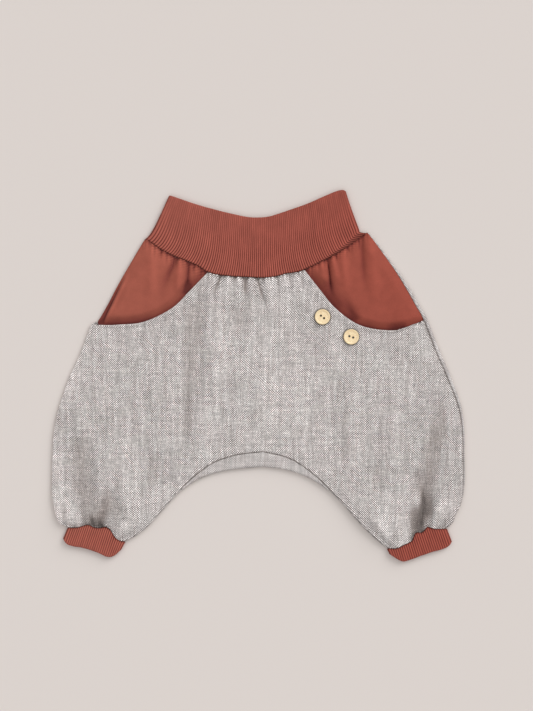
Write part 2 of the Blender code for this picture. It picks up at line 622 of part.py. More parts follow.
def build():
    for old in list(bpy.data.objects):
        bpy.data.objects.remove(old)
    left, right = HALVES
    cloth_object("front_panel", front_patches(left) + front_patches(right), WOVEN_WALL, LINEN)
    cloth_object("back_panel", back_patches(left) + back_patches(right), WOVEN_WALL, LINEN)
    cloth_object("pocket_left", pocket_patches(left, LEFT_POCKET_FOLDS), JERSEY_WALL, JERSEY)
    cloth_object("pocket_right", pocket_patches(right, RIGHT_POCKET_FOLDS), JERSEY_WALL, JERSEY)
    rib_tube("waistband", WAIST_SEAM, WAIST_FOLD, WAISTBAND_SPAN, WAIST_RIBS, WAIST_BULGE, RIB)
    rib_tube("cuff_left", LEFT_HEM, LEFT_CUFF_FOLD, (0.0, 1.0), CUFF_RIBS, CUFF_BULGE, RIB)
    rib_tube("cuff_right", RIGHT_HEM, RIGHT_CUFF_FOLD, (0.0, 1.0), CUFF_RIBS, CUFF_BULGE, RIB)
    for button in BUTTONS:
        button_object(button)


build()
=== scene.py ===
import math
from collections import namedtuple

import bmesh
import bpy
import numpy as np
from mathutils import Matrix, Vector


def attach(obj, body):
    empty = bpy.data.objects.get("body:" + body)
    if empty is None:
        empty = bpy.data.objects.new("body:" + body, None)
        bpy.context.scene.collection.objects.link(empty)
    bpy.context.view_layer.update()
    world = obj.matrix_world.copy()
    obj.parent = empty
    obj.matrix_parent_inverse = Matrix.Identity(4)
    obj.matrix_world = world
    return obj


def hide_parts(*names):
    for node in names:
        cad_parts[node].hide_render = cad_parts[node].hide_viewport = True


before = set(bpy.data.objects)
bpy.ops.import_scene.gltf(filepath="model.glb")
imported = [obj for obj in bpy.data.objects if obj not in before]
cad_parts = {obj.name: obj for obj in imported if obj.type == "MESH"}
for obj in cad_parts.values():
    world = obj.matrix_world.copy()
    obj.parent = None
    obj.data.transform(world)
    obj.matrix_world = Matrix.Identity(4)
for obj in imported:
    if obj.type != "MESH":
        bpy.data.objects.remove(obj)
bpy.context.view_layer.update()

MM = 0.001

# ---- sizes shared with the solids ----

WOVEN_WALL = 1.2
RIB_WALL = 2.2
RIB_RISE = 0.45
TUBE_HOLLOW = 0.5
FOLD_RADIUS = 1.6
FLAP = 3.0
FRONT_LEVEL = WOVEN_WALL / 2 + 2 * FOLD_RADIUS
POCKET_LEVEL = 2.2
POCKET_SLOPE = 9.0
POCKET_TUCK = 6.0
LOWEST_FRONT = 2.3
CALM_SHARE = 0.12
CROWN_POWER = 0.6
WAIST_RIBS = 94
CUFF_RIBS = 26
WAIST_BULGE = 0.8
CUFF_BULGE = 0.5
BUTTON_RADIUS = 7.5
BUTTON_HEIGHT = 2.8
BUTTON_RIM = 1.7
BUTTON_DISH = 0.6
BUTTON_HOLE_RADIUS = 0.8
BUTTON_HOLE_OFFSET = 1.9
BUTTON_LIFT = 0.45

# ---- sizes of the finer surface ----

WOVEN_OUT, WOVEN_IN = 0.6, 0.1  # cloth on either side of the surface that the tables give
JERSEY_OUT, JERSEY_IN = 0.5, 0.1
SEAM_SETBACK = 0.1  # from a seam's line to the turned-in edge beside it
WAIST_SETBACK = 0.2  # the same, beside a rib tube
HIP_ROWS, BODY_ROWS, LEG_ROWS = 12, 9, 9
FRONT_COLUMNS = 92
BACK_COLUMNS = 56
ROLL_COLUMNS = 14
UNDER_ROLL_COLUMNS = 10
OVERLAP_STEPS = np.array((0.0, 0.04, 0.1, 0.3, 0.55, 0.8))  # over the crotch, from the seam to the roll
POCKET_COLUMNS = 110
OPENING_STEPS = 200
RIB_STEPS = 8
UNDER_RIB_STEPS = 4
TUBE_ROWS = 26
TUBE_CROWD = 1.5  # above 1, a tube's rows are closer near its seam

# How an edge turns into its seam: distance along the cloth before the turn's end, and depth below it.
TURN = ((0.0, 1.1), (0.0, 0.6), (0.01, 0.3), (0.06, 0.12), (0.15, 0.03))
TURN_START = 0.25
TURN_SLIP = 0.02  # that each row of a turned edge stands beyond the next, so that no two fall together
FACING_MOST = 0.5  # an edge stays flat where the way into the garment leans along the cloth more than this,
FACING_FADE = 0.3  # and turns down wholly where it leans this much less
CREASE_DEPTH = 4.0  # of a fold whose bottom gets the full painted shade
RIDGE_HEIGHT = 8.0  # of a ridge that gets the full painted highlight
RIM_SHARE = 0.8  # of the same painted highlight at the rolled edges of the cloth
SEAM_DEPTH = 1.3  # how much less deep the folds are right beside a seam
SEAM_REACH = 0.12  # in sections
PINCH_REACH = 1.4  # of a fold's width, where the cloth beside it leans in most
FRONT_RIPPLES = (0.22, 3, (31, 43, 57, 74, 22))  # height, random seed and lengths
FRONT_FINE_RIPPLES = (0.07, 4, (9, 12, 15, 11))
POCKET_RIPPLES = (0.2, 5, (17, 26, 38, 21))
RIPPLE_BREADTH = 2.3  # of its length, between a ripple's bends
RIPPLE_BEND = 1.4
FRONT_PUCKER_SEED, POCKET_PUCKER_SEED = 21, 22
PUCKER_LENGTHS = (2.9, 3.7, 5.3)
PUCKER_HEIGHT = 0.3
PUCKER_FADE = 0.5  # sections from the seam over which the puckers die away
PUCKER_CREASE = 0.85  # painted shade in the lowest of them, and painted highlight on the highest
POCKET_PUFF = 3.0  # of the pocket pieces' middle above the solids' level
POCKET_PUFF_START = 0.6  # sections from the waist seam over which it grows
POCKET_PUFF_REACH = 12.0  # and millimetres from the side
LOWEST_POCKET = 1.9
LOWEST_SWELL = 0.2  # what is left of the front's shape where it is held up at its lowest level
OPENING_CREASE = 0.5  # painted shade on the pocket pieces just inside the openings
OPENING_CREASE_REACH = 2.8
FRONT_STRIP_CREASE = 0.55  # painted shade right beside the seams of the sides and the crotch, in front
BACK_STRIP_CREASE = 0.1  # and behind them
STRIP_CREASE_REACH = 0.45
STRIP_WORN = 0.65  # how faint the weave is there
SEAM_CREASE = 0.6  # painted shade just under the waist seam
SEAM_CREASE_REACH = 0.1  # in sections
OPENING_LIFT = 1.6  # of the front's edge at the pocket openings
OPENING_INSET = 1.1  # of that edge from the solids' curve, as far as it is lifted
HEM_TURN = 0.25  # radius of the folded edge there
HEM_DEPTH = 6.0  # cloth that runs back under it
WELD = 0.004  # points of two patches that are this near are one
OPENING_WORN = 0.75  # how faint the weave is on that edge
OPENING_WORN_REACH = 1.6
OPENING_FADE = 0.8  # sections before the opening's end over which its edge comes down
OPENING_LIFT_REACH = 9.0

Edge = namedtuple("Edge", "start end sag")
WAIST_SEAM = Edge((-107.2, 129.6), (102.6, 135.3), (
    (0, 0), (0.05, 8), (0.12, 16.6), (0.2, 23.8), (0.245, 28.7), (0.271, 32.6), (0.3, 35.2), (0.338, 36.6),
    (0.38, 38), (0.45, 39.1), (0.5, 39.9), (0.545, 40.2), (0.585, 39.2), (0.607, 38.2), (0.63, 36.9),
    (0.674, 36), (0.7, 34.7), (0.72, 32.9), (0.8, 25.7), (0.88, 17), (0.95, 7.4), (1, 0)))
WAIST_FOLD = Edge((-84.1, 170.1), (82, 174.8), (
    (0, 0), (0.06, 3.7), (0.15, 9.3), (0.25, 14.5), (0.37, 20), (0.46, 23.1), (0.5, 23.4), (0.55, 23.1),
    (0.62, 20.2), (0.69, 16.6), (0.78, 11.8), (0.87, 5.7), (0.93, 1.8), (0.97, 0), (0.99, 0.2), (1, 1.4)))
LEFT_HEM = Edge((-179.4, -142.4), (-124.9, -155.4), (
    (0, 0), (0.09, -1.1), (0.18, -2.8), (0.25, -5), (0.32, -6.7), (0.43, -5.8), (0.48, -5.9), (0.53, -6.6),
    (0.63, -8.8), (0.68, -8), (0.75, -5.2), (0.81, -2.1), (0.87, 0), (0.92, 0.9), (1, 0)))
LEFT_CUFF_FOLD = Edge((-183.6, -151.2), (-129, -162.3), (
    (0, 0), (0.03, 3.2), (0.08, 5.6), (0.18, 6.7), (0.32, 6.4), (0.46, 6.8), (0.65, 8.3), (0.78, 10),
    (0.85, 9.6), (0.92, 7), (0.965, 3.6), (1, -0.8)))
RIGHT_HEM = Edge((120.5, -162), (177.2, -143.5), (
    (0, 0), (0.065, 1.4), (0.11, 2.3), (0.21, 2.3), (0.26, 1.6), (0.36, 1.4), (0.422, 0.3), (0.46, -2.4),
    (0.5, -4.9), (0.55, -4.9), (0.594, -3.9), (0.648, -4.9), (0.71, -7.3), (0.75, -6.2), (0.836, -3.1),
    (0.9, -1.7), (1, 0)))
RIGHT_CUFF_FOLD = Edge((123, -166.2), (181.7, -154.3), (
    (0, 0), (0.026, 2.6), (0.065, 5.1), (0.112, 7.8), (0.185, 10.6), (0.267, 10.4), (0.35, 9.9), (0.44, 8.9),
    (0.55, 8.1), (0.65, 7.2), (0.79, 6.7), (0.855, 6.2), (0.93, 4.8), (0.97, 3), (1, 0)))

Hip = namedtuple("Hip", "middle_x middle_y open_x open_y bag_x bag_y side_x side_y side_rise")
LEFT_HIP = (
    Hip(0, 94, -49.4, 101.5, -30, 95, -107.2, 129.6, -0.8),
    Hip(0, 80, -65.9, 81.4, -47, 71, -120.2, 107, -0.8),
    Hip(0.6, 62, -82.9, 63.4, -68, 48, -132.2, 85.7, -0.8),
    Hip(1, 40, -109, 50.6, -100, 33, -141.3, 68.5, -0.8),
    Hip(1.6, 20, -134, 48, -128, 30, -151.2, 51.6, -0.8),
)
RIGHT_HIP = (
    Hip(0, 94, 44.7, 100.3, 26, 95, 103.5, 135.6, 0.8),
    Hip(0, 80, 57.8, 82.7, 40, 71.5, 116.9, 118, 1.7),
    Hip(0.6, 62, 74.4, 62.5, 61, 49, 131, 98.7, 2.5),
    Hip(1, 40, 98.5, 46.7, 90, 29, 142.9, 81.3, 3.7),
    Hip(1.6, 20, 130.5, 42.7, 122, 25, 150.8, 67.5, 3.8),
)
Body = namedtuple("Body", "middle_x middle_y side_x side_y side_rise")
LEFT_BODY = (
    Body(2, 0, -157.1, 48.9, -0.9),
    Body(2.6, -18, -166.2, 24.4, -1.2),
    Body(3, -34, -178.9, -3.8, -1.2),
    Body(3.6, -48, -188.5, -32, -1.2),
    Body(3.9, -58.5, -192.7, -54.5, -1.2),
)
RIGHT_BODY = (
    Body(2, 0, 158.9, 52.6, 3.6),
    Body(2.6, -18, 170.3, 24.4, 4),
    Body(3, -34, 181.5, -2, 3.9),
    Body(3.6, -48, 190.9, -29.5, 3),
    Body(3.9, -58.5, 193.8, -53.6, 2.3),
)
Leg = namedtuple("Leg", "inner_x inner_y inner_rise side_x side_y side_rise roll puff")
LEFT_LEG = (
    Leg(4.2, -85.3, 14.4, -193.7, -71.4, -1.2, 1.6, 0),
    Leg(-18, -87.3, 13.6, -194.2, -82, -1.2, 1.6, 0.2),
    Leg(-37.5, -90.3, 10.3, -194.3, -92, -1.2, 1.6, 0.4),
    Leg(-54.5, -96.2, 5.4, -194.4, -100.6, -1.2, 1.7, 0.8),
    Leg(-69, -105, 2.4, -194.5, -108.5, -1.2, 1.9, 1.2),
    Leg(-81.5, -116.5, 1.3, -193.7, -116, -1.2, 2.2, 1.8),
    Leg(-92.5, -129, 1.1, -192.3, -123.5, -1.2, 2.5, 2.6),
    Leg(-103.3, -140.7, 1, -190.7, -131.5, -1, 2.5, 3.2),
    Leg(-114.5, -150, 0.9, -187.5, -138.6, -0.8, 2, 2.4),
    Leg(-124.9, -155.4, 0.8, -179.4, -142.4, -0.6, 1.6, 0),
)
RIGHT_LEG = (
    Leg(4.2, -85.3, 14.4, 193.9, -71.4, 1.9, 1.6, 0),
    Leg(24.5, -88, 11.8, 194.2, -81.5, 1.8, 1.6, 0.2),
    Leg(41, -93, 7.3, 194.2, -91.5, 1.8, 1.6, 0.4),
    Leg(55, -100.3, 4, 194, -100.5, 1.8, 1.7, 0.8),
    Leg(67.5, -109, 1.4, 193.1, -108.5, 1.5, 1.9, 1.2),
    Leg(79, -120.2, 1, 191.7, -116, 0.9, 2.2, 1.8),
    Leg(89.5, -132.3, 1, 189.4, -123.5, 0.9, 2.5, 2.6),
    Leg(99.7, -143.5, 1, 185.5, -131, 0.8, 2.5, 3.2),
    Leg(110, -153.7, 0.9, 183, -138.5, 0.8, 2, 2.4),
    Leg(120.5, -162, 0.8, 177.2, -143.5, 0.8, 1.6, 0),
)

# Soft folds: ridges where the height is above 0, troughs where it is below. "fade" and "tail" are the shares
# of the length over which a fold grows at its start (0 where it starts at a seam) and dies away at its end.
# "pinch" is how far the cloth on both sides leans in over it. A "shape" of 2 is round across, 4 is flat with
# steep sides.
# The troughs also get painted shade and the ridges painted highlight, through the cloth's crease.
Fold = namedtuple("Fold", "start_x start_y end_x end_y width height fade tail pinch shape",
                  defaults=(0, 1, 0, 2))
FRONT_FOLDS = (
    # gathers under the waistband: soft ridges, then the narrow troughs between them
    Fold(-41, 98, -54, 62, 4.6, 1.4),
    Fold(-28.5, 96, -32, 52, 3.2, 2),
    Fold(-17.5, 95, -20, 60, 3.2, 1.4),
    Fold(-6.8, 94, -5, 62, 2.8, 1.6),
    Fold(8.6, 94, 12, 46, 4.4, 1.9),
    Fold(23, 95, 26, 60, 4.2, 1.1),
    Fold(34, 98, 40, 58, 4.2, 1.3),
    Fold(-33.4, 98, -45, 72, 2.3, -2.9, 0, 0.6, 0.9),
    Fold(-36, 97, -37.5, 84, 1.4, -1.8, 0, 1, 0.5),
    Fold(-22.8, 95, -24, 82, 1.6, -2.4, 0, 1, 0.7),
    Fold(-12.2, 94, -13, 74, 2.2, -2.9, 0, 0.6, 0.9),
    Fold(-1.6, 93, 7, 64, 2.2, -3.2, 0, 0.6, 1.1),
    Fold(3.5, 93, 5, 84, 1.4, -1.5, 0, 1, 0.5),
    Fold(18, 94, 18.6, 78, 1.7, -1.8, 0, 1, 0.6),
    Fold(28.5, 96, 31, 80, 1.5, -1.5, 0, 1, 0.4),
    Fold(40.2, 96, 41.6, 76, 1.9, -1.6, 0.1, 1, 0.5),
    Fold(-14, 95, -8, 62, 8, -1, 0, 0.5),
    Fold(-49, 92, -58, 70, 6, -0.9, 0.1),
    # gathers over the left cuff
    Fold(-176, -143, -184, -108, 6, 2.8, 0, 0.6),
    Fold(-168.5, -143, -172, -118, 3.4, 1.6, 0, 0.6),
    Fold(-172, -96, -173, -116, 2.4, -0.9, 0.3),
    Fold(-150.5, -147, -150, -125, 8.6, -1.9, 0, 0.6, 1.2, 4),
    Fold(-147.6, -147, -148.4, -131, 3.4, -3.2, 0, 0.8),
    Fold(-147, -138, -139, -98, 6.4, -2.4, 0.25, 0.6),
    Fold(-127, -140, -132.5, -110, 7, -2.2, 0.2, 0.6),
    Fold(-190, -60, -187, -142, 7, 2.7, 0.3, 0.15),
    Fold(-156.4, -143, -158.8, -127, 2.8, -2.6, 0, 0.8, 0.6),
    Fold(-141.8, -146, -144, -136, 1.6, 5.6),
    Fold(-130, -152, -120, -108, 8, 3, 0, 0.6),
    # gathers over the right cuff
    Fold(122, -164, 104, -122, 7, 3, 0, 0.6),
    Fold(134.5, -158, 126, -112, 5.6, 2.6, 0, 0.8),
    Fold(148.4, -151, 147.2, -117, 6.2, -2.9, 0, 0.4, 0, 4),
    Fold(152, -150, 155.4, -90, 2.6, -5, 0, 0.7, 1.7),
    Fold(152.2, -149, 153.4, -128, 3.2, -2.4, 0, 0.7),
    Fold(159.5, -138, 158.5, -106, 4.8, -2.2, 0.3, 0.5, 0, 3),
    Fold(163.5, -143, 172, -104, 5.2, 2.8, 0, 0.6),
    Fold(173.5, -143, 184, -116, 3, -1.2),
    # long soft folds and streaks over the seat and the legs, with painted shade in the troughs and painted
    # highlight on the ridges
    Fold(-63.5, 78, -69, -74, 6.8, -1.2, 0.12, 0.2),
    Fold(-55, 88, -56, -50, 5.5, -0.9, 0.1, 0.5),
    Fold(-20, 74, -19, 28, 8.5, -1.1, 0.3, 0.4),
    Fold(-37, 72, -38.5, -52, 7, 0.8, 0.2, 0.4),
    Fold(8, 62, 9, -72, 9, 1.3, 0.2, 0.3),
    Fold(34, 40, 38, -82, 8, 1.3, 0.4, 0.3),
    Fold(53, 45, 54, -6, 5.5, -0.55, 0.3, 0.4),
    Fold(-164, 42, -184, -36, 7, 2.1, 0.1, 0.35),
    Fold(-146, 8, -151, -62, 8, 1.4, 0.35, 0.5),
    Fold(-190, -20, -186, -56, 7, -0.8, 0.4, 0.5),
    Fold(-172, -42, -158, -150, 11, -1.6, 0.3, 0.15),
    Fold(-97, -64, -101, -114, 6.5, -1.1, 0.3, 0.4),
    Fold(-123, -38, -121, -140, 10, 1.1, 0.3, 0.4),
    Fold(168, -20, 155, -150, 9, -1.7, 0.35, 0.15),
    Fold(171, -10, 172, -74, 6, -0.9, 0.3, 0.3),
    Fold(112, -74, 110, -120, 9, -0.9, 0.3, 0.4),
    Fold(50, -84, 96, -146, 9, 2.4, 0.3, 0.3),
    Fold(146, -84, 147, -116, 6, -1, 0.3, 0.3),
    Fold(80, -20, 83, -92, 6.5, -0.9, 0.3, 0.3),
    Fold(-60, -60, -120, -130, 12, -0.4, 0.3),
    Fold(120, 20, 140, -60, 12, 0.5, 0.3),
)
BACK_FOLDS = (
    Fold(-62, 108, -72, 66, 5, 0.8),
    Fold(-38, 98, -44, 52, 5, 0.9),
    Fold(-14, 94, -18, 60, 4.6, 0.8),
    Fold(12, 94, 14, 48, 5.2, 0.9),
    Fold(36, 98, 44, 62, 4.6, 0.8),
    Fold(60, 108, 72, 70, 5, 0.8),
    Fold(-160, -140, -166, -98, 5, 0.9),
    Fold(-144, -146, -140, -104, 4.6, 0.8),
    Fold(138, -150, 126, -108, 4.8, 0.9),
    Fold(158, -144, 164, -104, 5, 0.8),
)
LEFT_POCKET_FOLDS = (
    Fold(-99, 118, -100, 66, 5, 1.6, 0, 0.5),
    Fold(-91.6, 120, -92.2, 108, 1.5, -2.6, 0, 1, 0.6),
    Fold(-84.6, 117, -85.2, 109, 1.1, -2.2, 0, 1, 0.5),
    Fold(-76.6, 113, -91.5, 80, 3.4, -2.7, 0, 0.7, 0.9),
    Fold(-72.5, 109, -76.5, 74, 3, 2.2, 0, 0.5),
    Fold(-65.6, 108, -68, 74, 2.8, -3.4, 0, 0.25, 1.2),
    Fold(-65, 93, -69, 76, 4, -2.6, 0.6, 0.1),
    Fold(-65.8, 92, -67.6, 76, 2.4, -4, 0.6, 0.1),
    Fold(-60.2, 105, -61.4, 95, 1.2, -2.2, 0, 1, 0.5),
    Fold(-86, 100, -96, 62, 5, -0.7, 0.3, 0.5),
    # the crease beside the fold at the hip, and painted shade on the cloth outside it
    Fold(-148, 47, -122.6, 101, 1.2, -3.2, 0, 0.6),
    Fold(-151, 46, -127, 97, 2, -2.6, 0, 0.7),
    Fold(-145.4, 48, -120.2, 99, 1.5, 1.6, 0, 0.35),
    Fold(-150, 47.5, -92, 53.5, 5.2, -2, 0, 0.3),
)
RIGHT_POCKET_FOLDS = (
    Fold(59.5, 106, 63, 84, 2.6, 1.7),
    Fold(64.6, 114, 69.6, 70, 1.9, -3.6, 0, 0.5, 1),
    Fold(69.2, 114, 74.6, 84, 2.2, 1.8, 0, 0.6),
    Fold(73.4, 116, 73.6, 105, 1.2, -2.4, 0, 1, 0.5),
    Fold(79, 116, 84, 72, 4.2, 1.8, 0, 0.5),
    Fold(84.2, 121, 85.2, 113, 1.1, -2.2, 0, 1, 0.4),
    Fold(96.8, 121, 99.8, 74, 3.4, -1.7, 0, 0.6, 0.8),
    Fold(106, 124, 111, 62, 5, 1.4, 0, 0.4),
    Fold(91.5, 52, 76, 80, 5, -2.7, 0.05, 0.8, 1),
    Fold(62, 92, 78, 58, 6.5, -1.9, 0.2, 0.3),
    Fold(141, 46, 116, 44.5, 4.2, -3.2, 0.2, 0.5),
    Fold(112, 42, 92, 46, 3.6, -1.2, 0.2, 0.4),
)

# "last" is the section where a pocket piece ends, and "tuck" how far it leaves the side in its last section.
Pocket = namedtuple("Pocket", "side folds last tuck")
POCKETS = (
    Pocket("left", LEFT_POCKET_FOLDS, 5.3, POCKET_TUCK),
    Pocket("right", RIGHT_POCKET_FOLDS, 4.97, 0),
)

Button = namedtuple("Button", "name x y turn")
BUTTONS = (
    Button("button_upper", 60, 55.5, -39),
    Button("button_lower", 87, 36.8, -19),
)
BUTTON_SEAT = FRONT_LEVEL + WOVEN_WALL / 2 + BUTTON_LIFT


# ---- curves ----

def smooth_values(knots, values, at):
    """Read a table by cubic pieces with a smooth slope at each row."""
    knots = np.asarray(knots, float)
    values = np.asarray(values, float)
    at = np.asarray(at, float)
    slopes = np.gradient(values, knots, axis=0)
    piece = np.clip(np.searchsorted(knots, at, side="right") - 1, 0, len(knots) - 2)
    length = knots[piece + 1] - knots[piece]
    u = (at - knots[piece]) / length
    shape = u.shape + (1,) * (values.ndim - 1)
    u = u.reshape(shape)
    length = length.reshape(shape)
    return ((1 + 2 * u) * (1 - u) ** 2 * values[piece] + u * (1 - u) ** 2 * length * slopes[piece]
            + u * u * (3 - 2 * u) * values[piece + 1] - u * u * (1 - u) * length * slopes[piece + 1])


def smooth_rows(table, at):
    return smooth_values(np.arange(len(table)), table, at)


def smoothstep(value):
    value = np.clip(value, 0.0, 1.0)
    return value * value * (3 - 2 * value)


def unit(vectors):
    return vectors / np.linalg.norm(vectors, axis=-1, keepdims=True)


def edge_frame(edge):
    start = np.array(edge.start)
    chord = np.array(edge.end) - start
    length = np.linalg.norm(chord)
    along = chord / length
    sagging = np.array((along[1], -along[0]))
    return start, length, along, sagging


def edge_points(edge, fractions):
    """Points of an edge at fractions of its chord."""
    start, length, along, sagging = edge_frame(edge)
    sag = np.array(edge.sag)
    fractions = np.asarray(fractions, float)
    depth = smooth_values(sag[:, 0], sag[:, 1], fractions)
    return start + fractions[..., None] * length * along + depth[..., None] * sagging


def edge_shift(first_row, edge, distance):
    """How far each point of a panel's first row lies from its place beside an edge."""
    start, length, along, sagging = edge_frame(edge)
    fractions = np.clip((first_row - start) @ along / length, 0, 1)
    target = edge_points(edge, fractions) + distance * sagging
    overhang = (first_row - start) @ along - fractions * length
    return target + overhang[:, None] * along - first_row


def waves(x, y, size, seed, lengths):
    """Gentle unevenness: a sum of long ripples."""
    random = np.random.default_rng(seed)
    height = np.zeros_like(x)
    for length in lengths:
        turn = random.uniform(0, math.pi)
        phase = random.uniform(0, 2 * math.pi)
        bend = random.uniform(0, 2 * math.pi)
        run = (x * math.cos(turn) + y * math.sin(turn)) * 2 * math.pi / length
        side = (y * math.cos(turn) - x * math.sin(turn)) * 2 * math.pi / (length * RIPPLE_BREADTH)
        height += np.sin(run + phase + RIPPLE_BEND * np.sin(side + bend))
    return size * (height / math.sqrt(len(lengths)))


# ---- sections of the flattened trousers ----

HIP_SECTIONS = len(LEFT_HIP)
CROTCH_SECTION = HIP_SECTIONS + len(LEFT_BODY)
LAST_SECTION = CROTCH_SECTION + len(LEFT_LEG) - 1
WAIST_PULL = 2.5  # sections over which a panel's rows take up the curve of the waist seam
HEM_PULL = 6.0  # and of the hem


def section_numbers():
    hip = np.linspace(0, HIP_SECTIONS, HIP_SECTIONS * HIP_ROWS, endpoint=False)
    body_count = (CROTCH_SECTION - HIP_SECTIONS) * BODY_ROWS
    body = np.linspace(HIP_SECTIONS, CROTCH_SECTION, body_count, endpoint=False)
    leg = np.linspace(CROTCH_SECTION, LAST_SECTION, (LAST_SECTION - CROTCH_SECTION) * LEG_ROWS + 1)
    return np.concatenate((hip, body, leg))


def fold_point(outline, inward, rise, radius):
    """Surface point at a length `rise` above a rolled edge's outermost line, and the way into the roll."""
    quarter = radius * math.pi / 2
    angle = np.clip(rise, -quarter, quarter) / radius
    inset = WOVEN_WALL / 2 + radius * (1 - np.cos(angle)) + np.maximum(np.abs(rise) - quarter, 0)
    height = WOVEN_WALL / 2 + radius * (1 + np.sin(angle))
    plan = outline + inset[..., None] * inward
    inner = np.concatenate((np.cos(angle)[..., None] * inward, -np.sin(angle)[..., None]), axis=-1)
    return np.concatenate((plan, height[..., None]), axis=-1), inner


# An edge round which the cloth rolls: its outline, the way in from it, the seam's length above its outermost
# line, and the radius of the roll, at each row.
Rolled = namedtuple("Rolled", "outline inward rise roll")


class Patch:
    """A grid of points with their places in the flat cloth and the way into the garment at each.

    `crease` is 0 on open cloth, nears 1 down in a fold, with painted shade there, and -1 on a ridge, with
    painted highlight.
    `worn` is how faint the weave is, from 0 to 1.
    """

    def __init__(self, points, grain, inner, crease=0.0, worn=0.0):
        self.points = points
        self.grain = grain
        self.inner = inner
        self.crease = np.zeros(points.shape[:2]) + crease
        self.worn = np.zeros(points.shape[:2]) + worn

    @classmethod
    def flat(cls, points, inner_z):
        inner = np.zeros_like(points)
        inner[..., 2] = inner_z
        return cls(points, points[..., :2].copy(), inner)

    def rows(self, keep):
        parts = (self.points, self.grain, self.inner, self.crease, self.worn)
        return Patch(*(part[keep] for part in parts))

    def shift(self, move):
        self.points[..., :2] += move
        self.grain += move

    def turn_edge(self, at_start):
        """Add rows that turn into the garment at the first or the last row."""
        order = slice(None) if at_start else slice(None, None, -1)
        points, grain, inner = self.points[order], self.grain[order], self.inner[order]
        out = unit(points[0] - points[1])
        out_grain = unit(grain[0] - grain[1])
        level = np.clip(np.abs((inner[0] * out).sum(-1)), 0, 1)
        free = smoothstep((FACING_MOST - level) / FACING_FADE)
        new_points, new_grain = [], []
        for along, depth in TURN:
            step = TURN_START - along
            new_points.append(points[0] + step * out + (depth * free)[:, None] * inner[0])
            new_grain.append(grain[0] + (step + depth) * out_grain)
        for i in range(len(TURN)):
            new_points[i] = new_points[i] + TURN_SLIP * (len(TURN) - i) * out
        self.points = np.concatenate((np.array(new_points), points))[order]
        self.grain = np.concatenate((np.array(new_grain), grain))[order]
        self.inner, self.crease, self.worn = (
            np.concatenate((np.repeat(part[:1], len(TURN), axis=0), part))[order]
            for part in (inner, self.crease[order], self.worn[order]))


class Half:
    """One half of the trousers: its outlines, and the directions in which its edges roll."""

    def __init__(self, hip, body, leg, hem):
        self.hip = np.array(hip)
        self.body = np.array(body)
        self.leg = np.array(leg)
        self.hem = hem
        self.turn = np.sign(self.leg[-1, 0])
        self.sections = section_numbers()
        self.set_side()
        self.set_crotch()

    def set_side(self):
        side = np.vstack((self.hip[:, 6:9], self.body[:, 2:5], self.leg[:, 3:6]))
        side = smooth_rows(side, self.sections)
        flat = np.full(CROTCH_SECTION, FOLD_RADIUS)
        self.side = side[:, :2]
        self.side_rise = side[:, 2]
        self.roll = smooth_rows(np.concatenate((flat, self.leg[:, 6])), self.sections)
        self.puff = smooth_rows(np.concatenate((0 * flat, self.leg[:, 7])), self.sections)
        middle = np.vstack((self.hip[:, :2], self.body[:, :2], self.leg[:, :2]))
        self.side_inward = unit(smooth_rows(middle, self.sections) - self.side)
        self.side_edge = Rolled(self.side, self.side_inward, self.side_rise, self.roll)

    def set_crotch(self):
        self.in_leg = self.sections >= CROTCH_SECTION
        numbers = self.sections[self.in_leg] - CROTCH_SECTION
        inner = smooth_rows(self.leg[:, :3], numbers)
        forward = np.gradient(inner[:, :2], axis=0)
        normal = unit(np.stack((-self.turn * forward[:, 1], self.turn * forward[:, 0]), axis=1))
        across = unit(self.side[self.in_leg] - inner[:, :2])
        mix = smoothstep(numbers / numbers[-1])[:, None]
        inward = unit((1 - mix) * normal + mix * across)
        begin = smoothstep(numbers)[:, None]
        inward = unit(begin * inward + (1 - begin) * np.array((0.0, 1.0)))
        self.inner_edge = Rolled(inner[:, :2], inward, inner[:, 2], self.roll[self.in_leg])

    def pull(self, patch, sections, wall_out):
        """Bend a patch's rows near the waist seam and the hem to those lines."""
        distance = WAIST_SETBACK + wall_out + TURN_START
        if sections[0] == 0:
            weights = np.clip(1 - sections / WAIST_PULL, 0, 1) ** 2
            shift = edge_shift(patch.points[0, :, :2], WAIST_SEAM, distance)
            patch.shift(weights[:, None, None] * shift)
        if sections[-1] == LAST_SECTION:
            weights = np.clip(1 - (LAST_SECTION - sections) / HEM_PULL, 0, 1) ** 2
            shift = edge_shift(patch.points[-1, :, :2], self.hem, -distance)
            patch.shift(weights[:, None, None] * shift)


HALVES = (
    Half(LEFT_HIP, LEFT_BODY, LEFT_LEG, LEFT_HEM),
    Half(RIGHT_HIP, RIGHT_BODY, RIGHT_LEG, RIGHT_HEM),
)


def across(inner, outer, columns):
    """Rows of points from one boundary to the other."""
    t = np.linspace(0, 1, columns + 1)[None, :, None]
    return inner[:, None, :] * (1 - t) + outer[:, None, :] * t


